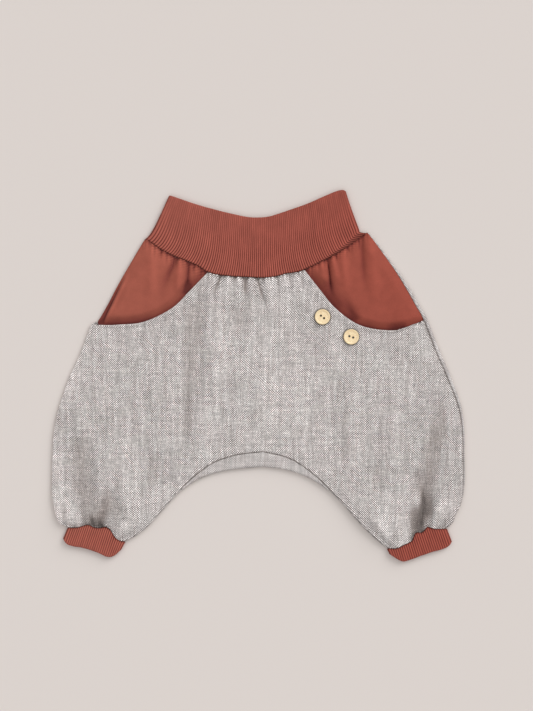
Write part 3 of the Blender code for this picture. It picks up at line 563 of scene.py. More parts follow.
def rolled_strip(rolled, reaches, toward, wall_out):
    """A rolled strip from the edge that turns into a seam to the flat cloth beside the roll.

    `reaches` are its lengths above the outermost line, rows by columns, from the seam's side. `toward` is +1
    where the cloth lies above the seam and -1 below it.
    """
    outline, inward = rolled.outline[:, None, :], rolled.inward[:, None, :]
    seam, roll = rolled.rise[:, None], rolled.roll[:, None]
    _, seam_inner = fold_point(outline, inward, seam, roll)
    points, inner = fold_point(outline, inward, reaches, roll)
    run = np.abs(reaches - reaches[:, -1:])
    columns, inners, runs, spans = [], [], [], []
    for along, depth in TURN:
        place = seam + toward * (SEAM_SETBACK + wall_out + along)
        point, _ = fold_point(outline, inward, place, roll)
        columns.append(point + depth * seam_inner)
        inners.append(seam_inner)
        runs.append(np.abs(place - reaches[:, -1:]) + depth)
        spans.append(np.full(place.shape, along))
    spans.append(np.abs(reaches - seam) - SEAM_SETBACK - wall_out)
    points = np.concatenate(columns + [points], axis=1)
    inner = np.concatenate(inners + [inner], axis=1)
    run = np.concatenate(runs + [run], axis=1)
    outermost = np.abs(reaches[:, -1:])
    run = outermost - np.abs(run - outermost)
    # painted shade along the seam beside the roll
    strength = FRONT_STRIP_CREASE if toward > 0 else BACK_STRIP_CREASE
    crease = strength * np.exp(-(np.concatenate(spans, axis=1) / STRIP_CREASE_REACH) ** 2)
    edge = points[:, -1:, :2]
    return Patch(points, edge - run[..., None] * inward, inner, crease, 0.0 if toward > 0 else STRIP_WORN)


def plain_strip(rolled, toward, wall_out):
    """A rolled strip with even columns, that ends flat above (+1) or below (-1) its roll."""
    start = rolled.rise + toward * (SEAM_SETBACK + wall_out + TURN_START)
    quarter = rolled.roll * math.pi / 2
    end = np.maximum(quarter, rolled.rise) + FLAP if toward > 0 else -quarter - FLAP
    return rolled_strip(rolled, np.linspace(start, end, ROLL_COLUMNS + 1, axis=1), toward, wall_out)


def relief(x, y, folds):
    """How far soft folds move the cloth at each place, sideways and up, and how deep in a fold it lies, which
    sets its painted shade (or, on a ridge, painted highlight).
    """
    move = np.zeros(x.shape + (3,))
    crease = np.zeros(x.shape)
    for fold in folds:
        start = np.array((fold.start_x, fold.start_y))
        run = np.array((fold.end_x, fold.end_y)) - start
        length = np.linalg.norm(run)
        run = run / length
        side = np.array((run[1], -run[0]))
        along = ((x - start[0]) * run[0] + (y - start[1]) * run[1]) / length
        off = (x - start[0]) * side[0] + (y - start[1]) * side[1]
        fade = smoothstep(along / fold.fade) if fold.fade else 1.0
        weight = fade * smoothstep((1 - along) / fold.tail)
        profile = weight * np.exp(-np.abs(off / fold.width) ** fold.shape)
        move[..., 2] += fold.height * profile
        # painted shade down in troughs, painted highlight on ridges
        crease -= fold.height / (CREASE_DEPTH if fold.height < 0 else RIDGE_HEIGHT) * profile
        if fold.pinch:
            reach = off / (PINCH_REACH * fold.width)
            lean = -fold.pinch * weight * reach * np.exp(0.5 - reach ** 2)
            move[..., :2] += lean[..., None] * side
    return move, np.clip(crease, -1, 1)


def rim_highlight(strip):
    """Painted highlight along a rolled edge, where the cloth is drawn paler."""
    return -RIM_SHARE * np.linalg.norm(strip.inner[..., :2], axis=-1)


def seam_puckers(x, rows_from_seam, seed):
    """Fine unevenness of cloth that is gathered into a seam."""
    random = np.random.default_rng(seed)
    height = np.zeros_like(x)
    for length in PUCKER_LENGTHS:
        height += np.sin(2 * math.pi * x / length + random.uniform(0, 2 * math.pi))
    return PUCKER_HEIGHT * height * smoothstep(1 - rows_from_seam / PUCKER_FADE)


# ---- the woven panels ----

def opening_hem(edge, sections):
    """The pocket opening's folded edge: the cloth turns down there and runs back under itself."""
    shown = sections < HIP_SECTIONS
    points, grain = edge.points[shown], edge.grain[shown]
    out = points[:, -1] - points[:, -2]
    out[:, 2] = 0
    out = unit(out)
    down = np.array((0.0, 0.0, -1.0))
    places = []  # distance beyond the edge, depth and length of cloth, at each column
    for angle in np.radians((0, 45, 90, 135, 180)):
        places.append((HEM_TURN * math.sin(angle), HEM_TURN * (1 - math.cos(angle)), HEM_TURN * angle))
    for run in np.linspace(0, HEM_DEPTH, 5)[1:]:
        places.append((-run, 2 * HEM_TURN, HEM_TURN * math.pi + run))
    turned = [points[:, -1] + beyond * out + depth * down for beyond, depth, _ in places]
    turned = np.stack(turned, axis=1)
    grains = np.stack([grain[:, -1] + length * out[:, :2] for _, _, length in places], axis=1)
    return Patch(turned, grains, np.broadcast_to(down, turned.shape).copy(), worn=OPENING_WORN)


def inner_boundary(half, strip, level):
    """A half panel's middle line, and below it the edge of the strip beside the crotch."""
    upper = ~half.in_leg
    middle = np.vstack((half.hip[:, :2], half.body[:, :2], strip.points[0, -1, :2]))
    inner = np.full((len(half.sections), 3), level)
    inner[half.in_leg] = strip.points[:, -1]
    inner[upper, :2] = smooth_rows(middle, half.sections[upper])
    return inner


def calm_beside(distance, mix):
    """A factor that takes soft folds away beside a roll, as far as the roll is there."""
    return 1 - mix + mix * smoothstep(distance / CALM_SHARE)


def share_across(columns):
    return np.linspace(0, 1, columns + 1)[None, :]


# painted shade just under the waist seam
def seam_shade(sections):
    return SEAM_CREASE * smoothstep(1 - sections / SEAM_CREASE_REACH)[:, None]


def finish_edges(patches, at_waist):
    for patch in at_waist:
        patch.turn_edge(at_start=True)
    for patch in patches:
        patch.turn_edge(at_start=False)


def front_patches(half):
    """The front panel of one half: its flat part, its side roll, its crotch roll and its opening's hem."""
    s = half.sections
    below = s >= HIP_SECTIONS
    side_strip = plain_strip(half.side_edge, 1, WOVEN_OUT).rows(below)
    inner_strip = plain_strip(half.inner_edge, 1, WOVEN_OUT)
    inner = inner_boundary(half, inner_strip, FRONT_LEVEL)
    opening = np.vstack((half.hip[:, 2:4], side_strip.points[0, -1, :2]))
    outer = np.full((len(s), 3), FRONT_LEVEL)
    outer[below] = side_strip.points[:, -1]
    outer[~below, :2] = smooth_rows(opening, s[~below])
    free = smoothstep((HIP_SECTIONS - s) / OPENING_FADE)[:, None]
    outer += free * (HEM_TURN + WOVEN_OUT + OPENING_INSET) * unit(inner - outer)

    main = Patch.flat(across(inner, outer, FRONT_COLUMNS), -1.0)
    half.pull(main, s, WOVEN_OUT)
    t = share_across(FRONT_COLUMNS)
    crotch_calm = calm_beside(t, np.clip(s - CROTCH_SECTION + 1, 0, 1)[:, None])
    calm = calm_beside(1 - t, np.clip(s - HIP_SECTIONS + 1, 0, 1)[:, None]) * crotch_calm
    crown = half.puff[:, None] * np.sin(math.pi * t) ** CROWN_POWER
    from_opening = (1 - t) * np.linalg.norm(inner - outer, axis=1)[:, None]
    lift = OPENING_LIFT * free * np.exp(-(from_opening / OPENING_LIFT_REACH) ** 2)
    main.worn = OPENING_WORN * free * np.exp(-(from_opening / OPENING_WORN_REACH) ** 2)
    x, y = main.points[..., 0], main.points[..., 1]
    puckers = seam_puckers(x, s[:, None], FRONT_PUCKER_SEED)
    uneven = waves(x, y, *FRONT_RIPPLES) + waves(x, y, *FRONT_FINE_RIPPLES) + puckers
    move, crease = relief(x, y, FRONT_FOLDS)
    # painted shade in the puckers' hollows, painted highlight on their tops
    crease -= PUCKER_CREASE * puckers
    move *= calm[..., None]
    main.crease = np.clip(crotch_calm * crease + seam_shade(s), -1, 1)
    at_seam = smoothstep(1 - np.minimum(s, LAST_SECTION - s) / SEAM_REACH)[:, None]
    main.points[..., :2] += (1 - at_seam)[..., None] * move[..., :2]
    height = main.points[..., 2] + crown + lift + move[..., 2] + calm * uneven
    lowest = LOWEST_FRONT + SEAM_DEPTH * at_seam
    main.points[..., 2] = np.maximum(height, lowest + LOWEST_SWELL * smoothstep(height - lowest + 1))
    # painted highlight along the left half's rolled side edge
    if half.turn < 0:
        side_strip.crease = rim_highlight(side_strip)
    _, crease = relief(side_strip.points[..., 0], side_strip.points[..., 1], FRONT_FOLDS)
    side_strip.crease = np.clip(side_strip.crease + crease, -1, 1)
    half.pull(side_strip, s[below], WOVEN_OUT)
    half.pull(inner_strip, s[half.in_leg], WOVEN_OUT)
    hem = opening_hem(main, s)
    finish_edges((main, side_strip, inner_strip), (side_strip, main))
    return [main, side_strip, inner_strip, hem]


def back_patches(half):
    """The back panel of one half: its underside and the strips that it rolls up round the edges."""
    s = half.sections
    side_strip = plain_strip(half.side_edge, -1, WOVEN_OUT)
    start = half.inner_edge.rise - SEAM_SETBACK - WOVEN_OUT - TURN_START
    quarter = half.inner_edge.roll * math.pi / 2
    over = np.minimum(start, quarter)
    reaches = np.concatenate((
        start[:, None] - OVERLAP_STEPS * (start - over)[:, None],
        np.linspace(over, -quarter, UNDER_ROLL_COLUMNS, axis=1),
        (-quarter - FLAP)[:, None]), axis=1)
    inner_strip = rolled_strip(half.inner_edge, reaches, -1, WOVEN_OUT)
    inner = inner_boundary(half, inner_strip, WOVEN_WALL / 2)
    main = Patch.flat(across(inner, side_strip.points[:, -1], BACK_COLUMNS), 1.0)
    half.pull(main, s, WOVEN_OUT)
    half.pull(side_strip, s, WOVEN_OUT)
    half.pull(inner_strip, s[half.in_leg], WOVEN_OUT)
    t = share_across(BACK_COLUMNS)
    calm = calm_beside(1 - t, 1.0) * calm_beside(t, np.clip(s - CROTCH_SECTION + 1, 0, 1)[:, None])
    move, crease = relief(main.points[..., 0], main.points[..., 1], BACK_FOLDS)
    main.points[..., 2] += calm * move[..., 2]
    main.crease = calm * crease
    # painted highlight along the left half's rolled side edge
    if half.turn < 0:
        side_strip.crease = rim_highlight(side_strip)
    finish_edges((main, side_strip, inner_strip), (main, side_strip))
    return [main, side_strip, inner_strip]


# ---- the pocket pieces ----

def beyond_opening(half, x, y):
    """Distance from the pocket opening, positive where the pocket piece shows."""
    corner = half.side[half.sections == HIP_SECTIONS]
    table = np.vstack((half.hip[:, 2:4], corner))
    curve = smooth_rows(table, np.linspace(0, HIP_SECTIONS, OPENING_STEPS))
    tangent = unit(np.gradient(curve, axis=0))
    gap_x = x[..., None] - curve[:, 0]
    gap_y = y[..., None] - curve[:, 1]
    nearest = np.argmin(gap_x ** 2 + gap_y ** 2, axis=-1)[..., None]
    near_x = np.take_along_axis(gap_x, nearest, -1)[..., 0]
    near_y = np.take_along_axis(gap_y, nearest, -1)[..., 0]
    turn = tangent[nearest[..., 0]]
    return half.turn * (turn[..., 0] * near_y - turn[..., 1] * near_x)


def pocket_patches(half, pocket):
    """The pocket piece: it shows at the hip and runs on under the front panel."""
    s = np.linspace(0, pocket.last, HIP_SECTIONS * HIP_ROWS + 1)
    side = smooth_values(half.sections, np.column_stack((half.side, half.side_rise)), s)
    inward = unit(smooth_values(half.sections, half.side_inward, s))
    roll = np.full(len(s), FOLD_RADIUS)
    bag = smooth_rows(half.hip[:, 4:6], np.minimum(s, HIP_SECTIONS - 1))
    tuck = pocket.tuck * np.maximum(s - HIP_SECTIONS + 1, 0)
    outline = side[:, :2] + tuck[:, None] * inward
    strip = plain_strip(Rolled(outline, inward, side[:, 2], roll), 1, JERSEY_OUT)
    bag_edge = np.column_stack((bag, np.full(len(s), FRONT_LEVEL)))
    main = Patch.flat(across(bag_edge, strip.points[:, -1], POCKET_COLUMNS), -1.0)
    for patch in (main, strip):
        half.pull(patch, s, JERSEY_OUT)
        x, y, z = np.moveaxis(patch.points, -1, 0)
        beyond = beyond_opening(half, x, y)
        shown = smoothstep(beyond / POCKET_SLOPE)
        calm = smoothstep((z - POCKET_LEVEL) / (FRONT_LEVEL - POCKET_LEVEL))
        puckers = seam_puckers(x, s[:, None], POCKET_PUCKER_SEED)
        uneven = waves(x, y, *POCKET_RIPPLES) + puckers
        puff = POCKET_PUFF * smoothstep(s / POCKET_PUFF_START)[:, None]
        move, crease = relief(x, y, pocket.folds)
        # painted shade in the puckers' hollows, painted highlight on their tops
        crease -= PUCKER_CREASE * puckers
        move *= (calm * shown)[..., None]
        from_side = np.linalg.norm(patch.points[..., :2] - outline[:, None, :], axis=-1)
        inset = smoothstep(from_side / POCKET_PUFF_REACH)
        height = POCKET_LEVEL + shown * (z - POCKET_LEVEL + calm * (uneven + puff * inset)) + move[..., 2]
        at_seam = smoothstep(1 - s / SEAM_REACH)[:, None]
        patch.points[..., :2] += (1 - at_seam)[..., None] * move[..., :2]
        lowest = LOWEST_POCKET + SEAM_DEPTH * at_seam
        patch.points[..., 2] = np.where(calm > 0, np.maximum(height, lowest), height)
        # painted shade on the pocket piece just inside the opening, under the front's edge
        near_edge = OPENING_CREASE * np.exp(-(np.maximum(beyond, 0) / OPENING_CREASE_REACH) ** 2)
        patch.crease = np.clip(crease + near_edge + seam_shade(s), -1, 1)
        patch.turn_edge(at_start=True)
    return [main, strip]


# ---- rib tubes ----

# "lean" is how far a tube's ribs turn outwards towards the ends of its seam, in degrees. A flare is how far
# the cloth draws in beyond the seam at its left or right end, over what length, and how much more beside the
# seam. "fade" is the share of the ribs' height that is lost on the way to the fold.
Tube = namedtuple("Tube", "name seam fold ribs bulge lean flare_left flare_right fade seed")
NO_FLARE = (0.0, 1.0, 0.0)
TUBES = (
    Tube("waistband", WAIST_SEAM, WAIST_FOLD, WAIST_RIBS, WAIST_BULGE,
         34.0, (3.5, 4.2, 0.6), (6.5, 0.5, 1.0), 0.75, 11),
    Tube("cuff_left", LEFT_HEM, LEFT_CUFF_FOLD, CUFF_RIBS, CUFF_BULGE, 0.0, NO_FLARE, NO_FLARE, 0.2, 12),
    Tube("cuff_right", RIGHT_HEM, RIGHT_CUFF_FOLD, CUFF_RIBS, CUFF_BULGE, 0.0, NO_FLARE, NO_FLARE, 0.2, 13),
)
LEAN_PULL = 1.2  # how strongly the ribs keep to their first direction
FLARE_REACH = 0.35  # share of the tube's width that it takes along
FLARE_FALL = 0.8  # how it dies away towards the fold
NIP_REACH = 3.2  # from the seam
SEAM_ROUND = 1.0  # of a tube's sewn edge, seen from outside
VALLEY_POWER = 0.7  # below 1, the ridges are broad and the valleys between them narrow
SIDE_STEPS = 12  # round each side of a tube,
SIDE_RIBS = 2  # with this many ribs
SEWN_SHARE = 0.8  # of the ribs' height, on the sewn edge
FADE_START, FADE_REACH = 0.3, 0.6  # of the way from the seam, where the ribs lose height
FOLD_FADE = 1.6  # above 1, they die away farther round the fold
INSIDE = (0.66, 0.33, 0.18, 0.1, 0.05, 0.02, 0.0)  # rows of the inner wall, from the fold to the seam
INSIDE_GRAIN = 60  # that its cloth lies farther on than the outer wall's


def valley(phase):
    return 1 - np.abs(np.cos(math.pi * phase)) ** VALLEY_POWER


def rib_columns(ribs, chord):
    """Round the flattened tube: inset from its left fold, height, direction out, rib phase."""
    radius = (RIB_WALL + TUBE_HOLLOW) / 2
    reach = RIB_WALL / 2 + radius
    columns = []

    def pressed(start, end, low, high, steps, up):
        phases = np.linspace(low, high, (high - low) * steps + 1)
        for inset, phase in zip(np.linspace(start, end, len(phases)), phases):
            columns.append((inset, reach + up * radius, 0.0, up, phase))

    def round_side(middle, toward, first):
        for i, angle in enumerate(np.radians(np.linspace(90, -90, SIDE_STEPS + 1)[1:-1])):
            c, s = toward * math.cos(angle), toward * math.sin(angle)
            phase = first + SIDE_RIBS * (i + 1) / SIDE_STEPS
            columns.append((middle + radius * c, reach + radius * s, c, s, phase))

    pressed(reach, chord - reach, 0, ribs, RIB_STEPS, 1.0)
    round_side(chord - reach, 1, ribs)
    pressed(chord - reach, reach, ribs + SIDE_RIBS, 2 * ribs + SIDE_RIBS, UNDER_RIB_STEPS, -1.0)
    round_side(reach, -1, 2 * ribs + SIDE_RIBS)
    return np.array(columns)


def tube_ring(length, fade):
    """Round the wall along one column: distance from the seam, offset from the wall's middle, rib share."""
    half = RIB_WALL / 2
    ring = []
    for angle in np.radians((0, 30, 60)):
        ring.append((SEAM_ROUND * (1 - math.cos(angle)), half - SEAM_ROUND * (1 - math.sin(angle)),
                     SEWN_SHARE))
    for t in np.linspace(0, 1, TUBE_ROWS) ** TUBE_CROWD:
        share = 1 - fade * smoothstep((t - FADE_START) / FADE_REACH)
        ring.append((SEAM_ROUND + (length - half - SEAM_ROUND) * t, half, share))
    for angle in np.radians((30, 60, 90, 120, 150, 180)):
        share = (1 - fade) * max(math.cos(angle / FOLD_FADE), 0)
        ring.append((length - half + half * math.sin(angle), half * math.cos(angle), share))
    for t in INSIDE:
        ring.append(((length - half) * t, -half, 0.0))
    return ring


def rib_line(tube, share, near, far, across_tube):
    """The line that the cloth follows from a seam to its fold: a function of the distance from the seam."""
    length = np.linalg.norm(far - near)
    along = (far - near) / length
    aside = 2 * share - 1
    turn = math.radians(tube.lean) * aside * (1 - aside ** 4)
    leaning = np.array((along[0] * math.cos(turn) - along[1] * math.sin(turn),
                        along[0] * math.sin(turn) + along[1] * math.cos(turn)))

    def drawn_in(flare, from_end, distance):
        most, reach, nip = flare
        distance = max(distance, 0.0)
        size = most * max(1 - distance / length, 0.0) ** FLARE_FALL
        size += nip * math.exp(-(distance / NIP_REACH) ** 2)
        return size * (1 - math.exp(-distance / reach)) * max(1 - from_end / FLARE_REACH, 0) ** 2

    def place(distance):
        t = distance / length
        rise = max(t, 0.0)
        point = near + (far - near) * t + LEAN_PULL * length * rise * (1 - rise) ** 2 * (leaning - along)
        drawn = drawn_in(tube.flare_left, share, distance) - drawn_in(tube.flare_right, 1 - share, distance)
        return point + drawn * across_tube

    return length, place


def rib_tube(tube):
    """A rib cloth tube pressed flat, sewn on along its seam and folded over at its other end."""
    seam_ends = edge_points(tube.seam, np.array((0.0, 1.0)))
    fold_ends = edge_points(tube.fold, np.array((0.0, 1.0)))
    chord = (np.linalg.norm(seam_ends[1] - seam_ends[0]) + np.linalg.norm(fold_ends[1] - fold_ends[0])) / 2
    across_tube = unit((seam_ends[1] - seam_ends[0]) + (fold_ends[1] - fold_ends[0]))
    columns = rib_columns(tube.ribs, chord)
    shares = columns[:, 0] / chord
    low = edge_points(tube.seam, shares)
    high = edge_points(tube.fold, shares)
    random = np.random.default_rng(tube.seed)
    depth = RIB_RISE * random.uniform(0.8, 1.2, 2 * tube.ribs + 6)
    mesh = bmesh.new()
    layer = mesh.loops.layers.uv.new("grain")
    loops, grain = [], []
    for (_, height, out_across, out_up, phase), share, near, far in zip(columns, shares, low, high):
        length, place = rib_line(tube, share, near, far, across_tube)
        loop, places = [], []
        for distance, offset, rib_share in tube_ring(length, tube.fade):
            up = distance / length
            out = offset - rib_share * depth[int(phase + 0.5)] * valley(phase) * (1 if offset > 0 else 0)
            plan = place(distance) + across_tube * out_across * out
            lift = tube.bulge * math.sin(math.pi * np.clip(up, 0, 1)) * max(out_up, 0.0)
            loop.append(mesh.verts.new((plan[0] * MM, plan[1] * MM, (height + out_up * out + lift) * MM)))
            places.append((phase, distance + (0 if offset > 0 else INSIDE_GRAIN)))
        loops.append(loop)
        grain.append(places)
    count = len(loops[0])
    for i, near in enumerate(loops):
        far = loops[(i + 1) % len(loops)]
        for k in range(count):
            m = (k + 1) % count
            face = mesh.faces.new((near[k], near[m], far[m], far[k]))
            j = i + 1 if i + 1 < len(loops) else i
            for corner, place in zip(face.loops, (grain[i][k], grain[i][m], grain[j][m], grain[j][k])):
                corner[layer].uv = place
    return finish_object(tube.name + "_cloth", mesh)


# ---- objects ----

BUTTON_SIDE = 1.9  # height where a button's side turns into its rim
BUTTON_STEPS = 72
HOLE_STEPS = 20
SHARP_FROM = 40  # degrees between two faces


def finish_object(name, mesh, outward_z=0):
    bmesh.ops.recalc_face_normals(mesh, faces=mesh.faces)
    if outward_z:
        lean = sum(face.normal.z * face.calc_area() for face in mesh.faces)
        if lean * outward_z < 0:
            bmesh.ops.reverse_faces(mesh, faces=mesh.faces)
    data = bpy.data.meshes.new(name)
    mesh.to_mesh(data)
    mesh.free()
    data.shade_smooth()
    made = bpy.data.objects.new(name, data)
    bpy.context.scene.collection.objects.link(made)
    return made


def cloth_object(name, patches, wall_out, wall_in, outward_z):
    """Weld patches of cloth into one sheet, then thicken it."""
    mesh = bmesh.new()
    layer = mesh.loops.layers.uv.new("grain")
    # the crease layer carries painted shade and highlight, and how faint the weave is
    depths = mesh.loops.layers.uv.new("crease")
    for patch in patches:
        grid = [[mesh.verts.new(point * MM) for point in row] for row in patch.points]
        grain, crease = patch.grain, patch.crease
        for r in range(len(grid) - 1):
            for c in range(len(grid[r]) - 1):
                spots = ((r, c), (r, c + 1), (r + 1, c + 1), (r + 1, c))
                face = mesh.faces.new([grid[i][j] for i, j in spots])
                for corner, spot in zip(face.loops, spots):
                    corner[layer].uv = grain[spot]
                    corner[depths].uv = (crease[spot], patch.worn[spot])
    bmesh.ops.remove_doubles(mesh, verts=mesh.verts, dist=WELD * MM)
    made = finish_object(name, mesh, outward_z)
    thicken = made.modifiers.new("wall", "SOLIDIFY")
    wall = wall_out + wall_in
    thicken.thickness = wall * MM
    thicken.offset = 2 * wall_out / wall - 1
    thicken.use_even_offset = False
    thicken.use_quality_normals = True
    return made


def ring(mesh, radius, height, count, aside=0.0):
    """A level ring of points."""
    points = []
    for i in range(count):
        angle = 2 * math.pi * i / count
        points.append(mesh.verts.new(((aside + radius * math.cos(angle)) * MM,
                                      radius * math.sin(angle) * MM, height * MM)))
    return points


def rings_joined(mesh, profile, count, aside=0.0, turn=1):
    """A ring for each radius and height of a profile, joined by faces that look in where `turn` is -1."""
    rings = [ring(mesh, radius, height, count, aside) for radius, height in profile]
    for low, high in zip(rings, rings[1:]):
        for i in range(count):
            a, b = (i, (i + 1) % count)[::turn]
            mesh.faces.new((low[a], low[b], high[b], high[a]))
    return rings


def button_object(button):
    """A turned wooden button with a raised rim and two sewing holes."""
    mesh = bmesh.new()
    floor = BUTTON_HEIGHT - BUTTON_DISH
    inner = BUTTON_RADIUS - BUTTON_RIM
    middle = BUTTON_RADIUS - BUTTON_RIM / 2
    side = [(BUTTON_RADIUS - 0.5, 0.0), (BUTTON_RADIUS - 0.12, 0.25), (BUTTON_RADIUS, 0.8),
            (BUTTON_RADIUS, BUTTON_SIDE - 0.2)]
    rim = [(middle + BUTTON_RIM / 2 * math.cos(angle),
            BUTTON_SIDE + (BUTTON_HEIGHT - BUTTON_SIDE) * math.sin(angle))
           for angle in np.radians((25, 50, 75, 100))]
    dish = [(inner - 0.1, BUTTON_HEIGHT - 0.22), (inner - 0.5, floor + 0.06), (inner - 1.0, floor)]
    rings = rings_joined(mesh, side + rim + dish, BUTTON_STEPS)
    bore = [(BUTTON_HOLE_RADIUS, 0.0), (BUTTON_HOLE_RADIUS, floor - 0.12), (BUTTON_HOLE_RADIUS + 0.12, floor)]
    holes = [rings_joined(mesh, bore, HOLE_STEPS, aside * BUTTON_HOLE_OFFSET, -1) for aside in (-1, 1)]
    for index in (-1, 0):
        edges = []
        for loop in (rings[index], holes[0][index], holes[1][index]):
            for a, b in zip(loop, loop[1:] + loop[:1]):
                edges.append(mesh.edges.get((a, b)))
        bmesh.ops.triangle_fill(mesh, edges=edges, use_beauty=True)
    made = finish_object(button.name + "_wood", mesh)
    made.data.set_sharp_from_angle(angle=math.radians(SHARP_FROM))
    made.location = (button.x * MM, button.y * MM, BUTTON_SEAT * MM)
    made.rotation_euler = (0, 0, math.radians(button.turn))
    return made


# ---- materials ----

NOISE_LOW, NOISE_HIGH = 0.3, 0.7  # between which most of a noise lies
SIDE_REACH = 0.14  # metres from the middle to the places where a colour is wholly the left's or the right's


def operator(kind, swapped=False):
    def apply(field, other=0.0):
        first, second = (other, field) if swapped else (field, other)
        return field.nodes.math(kind, first, second)
    return apply


class Field:
    """A value that varies over a surface. Arithmetic on it makes math nodes."""

    def __init__(self, nodes, socket):
        self.nodes = nodes
        self.socket = socket

    __add__ = operator("ADD")
    __sub__ = operator("SUBTRACT")
    __rsub__ = operator("SUBTRACT", swapped=True)
    __mul__ = operator("MULTIPLY")
    __truediv__ = operator("DIVIDE")
    __pow__ = operator("POWER")
    __abs__ = operator("ABSOLUTE")


class Nodes:
    """Short forms for building a node material."""

    def __init__(self, name, roughness):
        self.material = bpy.data.materials.new(name)
        self.material.use_nodes = True
        self.tree = self.material.node_tree
        self.shader = self.tree.nodes["Principled BSDF"]
        self.shader.inputs["Roughness"].default_value = roughness
        self.shader.inputs["Specular IOR Level"].default_value = 0.2

    def put(self, socket, value):
        if isinstance(value, Field):
            self.tree.links.new(value.socket, socket)
        elif socket.type == "RGBA":
            socket.default_value = (*value, 1.0)
        else:
            socket.default_value = value

    def node(self, kind):
        return self.tree.nodes.new("ShaderNode" + kind)

    def fill(self, node, inputs, output=0):
        """Put values into a node's inputs, by number or name, and give one of its outputs."""
        for key, value in inputs.items():
            self.put(node.inputs[key], value)
        return Field(self, node.outputs[output])

    def layer(self, name):
        node = self.node("UVMap")
        node.uv_map = name
        return self.fill(node, {})

    def place(self):
        return self.fill(self.node("TexCoord"), {}, "Object")

    def math(self, kind, a, b=0.0):
        node = self.node("Math")
        node.operation = kind
        return self.fill(node, {0: a, 1: b})

    def of_vectors(self, kind, inputs, output=0):
        node = self.node("VectorMath")
        node.operation = kind
        return self.fill(node, inputs, output)

    def scale(self, colour, value):
        return self.of_vectors("SCALE", {0: colour, "Scale": value})

    def distance(self, x, y, from_x=0.0, from_y=0.0):
        """In the plane, from a point."""
        return self.of_vectors("DISTANCE", {0: self.vector(x, y), 1: (from_x, from_y, 0.0)}, "Value")

    def axes(self, vector):
        node = self.node("SeparateXYZ")
        self.put(node.inputs[0], vector)
        return [Field(self, socket) for socket in node.outputs]

    def vector(self, x, y, z=0.0):
        return self.fill(self.node("CombineXYZ"), {0: x, 1: y, 2: z})

    def noise(self, vector, scale=1.0, detail=2.0, roughness=0.5):
        node = self.node("TexNoise")
        node.noise_dimensions = "3D"
        inputs = {"Vector": vector, "Scale": scale, "Detail": detail, "Roughness": roughness}
        return self.fill(node, inputs, "Fac")

    def spread(self, value, low, high, to_low=0.0, to_high=1.0, soft=False):
        node = self.node("MapRange")
        node.interpolation_type = "SMOOTHSTEP" if soft else "LINEAR"
        return self.fill(node, dict(enumerate((value, low, high, to_low, to_high))))

    def mix(self, factor, a, b):
        node = self.node("Mix")
        node.data_type = "RGBA"
        return self.fill(node, {0: factor, 6: a, 7: b}, 2)

    def varied(self, value, amount):
        """Noise read as a factor about 1."""
        return self.spread(value, NOISE_LOW, NOISE_HIGH, 1 - amount, 1 + amount)

    def streaks(self, x, y, scale_x, scale_y, z, amount):
        return self.varied(self.noise(self.vector(x * scale_x, y * scale_y, z), detail=3.0), amount)

    def side_mix(self, left, right):
        """A colour that drifts from the garment's left to its right: painted light, paler on the left."""
        return self.mix(self.spread(self.axes(self.place())[0], -SIDE_REACH, SIDE_REACH), left, right)

    def crease(self):
        """How much painted shade (above 0) or painted highlight (below 0) a place gets from its crease, and
        how faint its weave.
        """
        return self.axes(self.layer("crease"))[:2]

    # painted shade darkens the colour where the crease is above 0, painted highlight pales it below 0
    def crease_tone(self, strength):
        return self.spread(self.crease()[0], -1, 1, 1 + strength, 1 - strength)

    def colour(self, value):
        self.put(self.shader.inputs["Base Color"], value)

    def bump(self, height, distance, strength):
        inputs = {"Height": height, "Distance": distance, "Strength": strength}
        self.put(self.shader.inputs["Normal"], self.fill(self.node("Bump"), inputs))

    def sheen(self, weight, roughness, tint):
        self.shader.inputs["Sheen Weight"].default_value = weight
        self.shader.inputs["Sheen Roughness"].default_value = roughness
        self.shader.inputs["Sheen Tint"].default_value = (*tint, 1.0)


WARP_PITCH = 1.04
WEFT_PITCH = 1.0
YARN_DRIFT = 4.0  # that the yarns stray from straight lines
MIDDLE_REACH = 150.0  # from the painted light that makes the middle paler to the darker sides
WALE_PITCH, COURSE_PITCH = 0.8, 0.7  # of the jersey
STITCH_PITCH = 1.1  # along the ribs
RIB_MEAN = 0.61  # of the ridge shape, which the far, blurred ribs fade to
WOVEN_CREASE_TONE = 0.68  # how much painted shade darkens the wholly creased cloth, and how much painted highlight pales the ridges
# the same painted shade and highlight, on the jersey
JERSEY_CREASE_TONE = 0.62
BUTTON_SHADOW_REACH = 1.3  # from a button's rim, how far its painted shadow reaches over the cloth,
BUTTON_SHADE = 0.35  # and that painted shadow's tone at the rim
RIM_SHADE = (0.75, 0.1)  # where the painted shade at a button's rim starts and is darkest, in from the rim
HOLE_SHADE = (0.1, 0.4)  # where the painted shade round a hole is darkest and ends, out from the hole
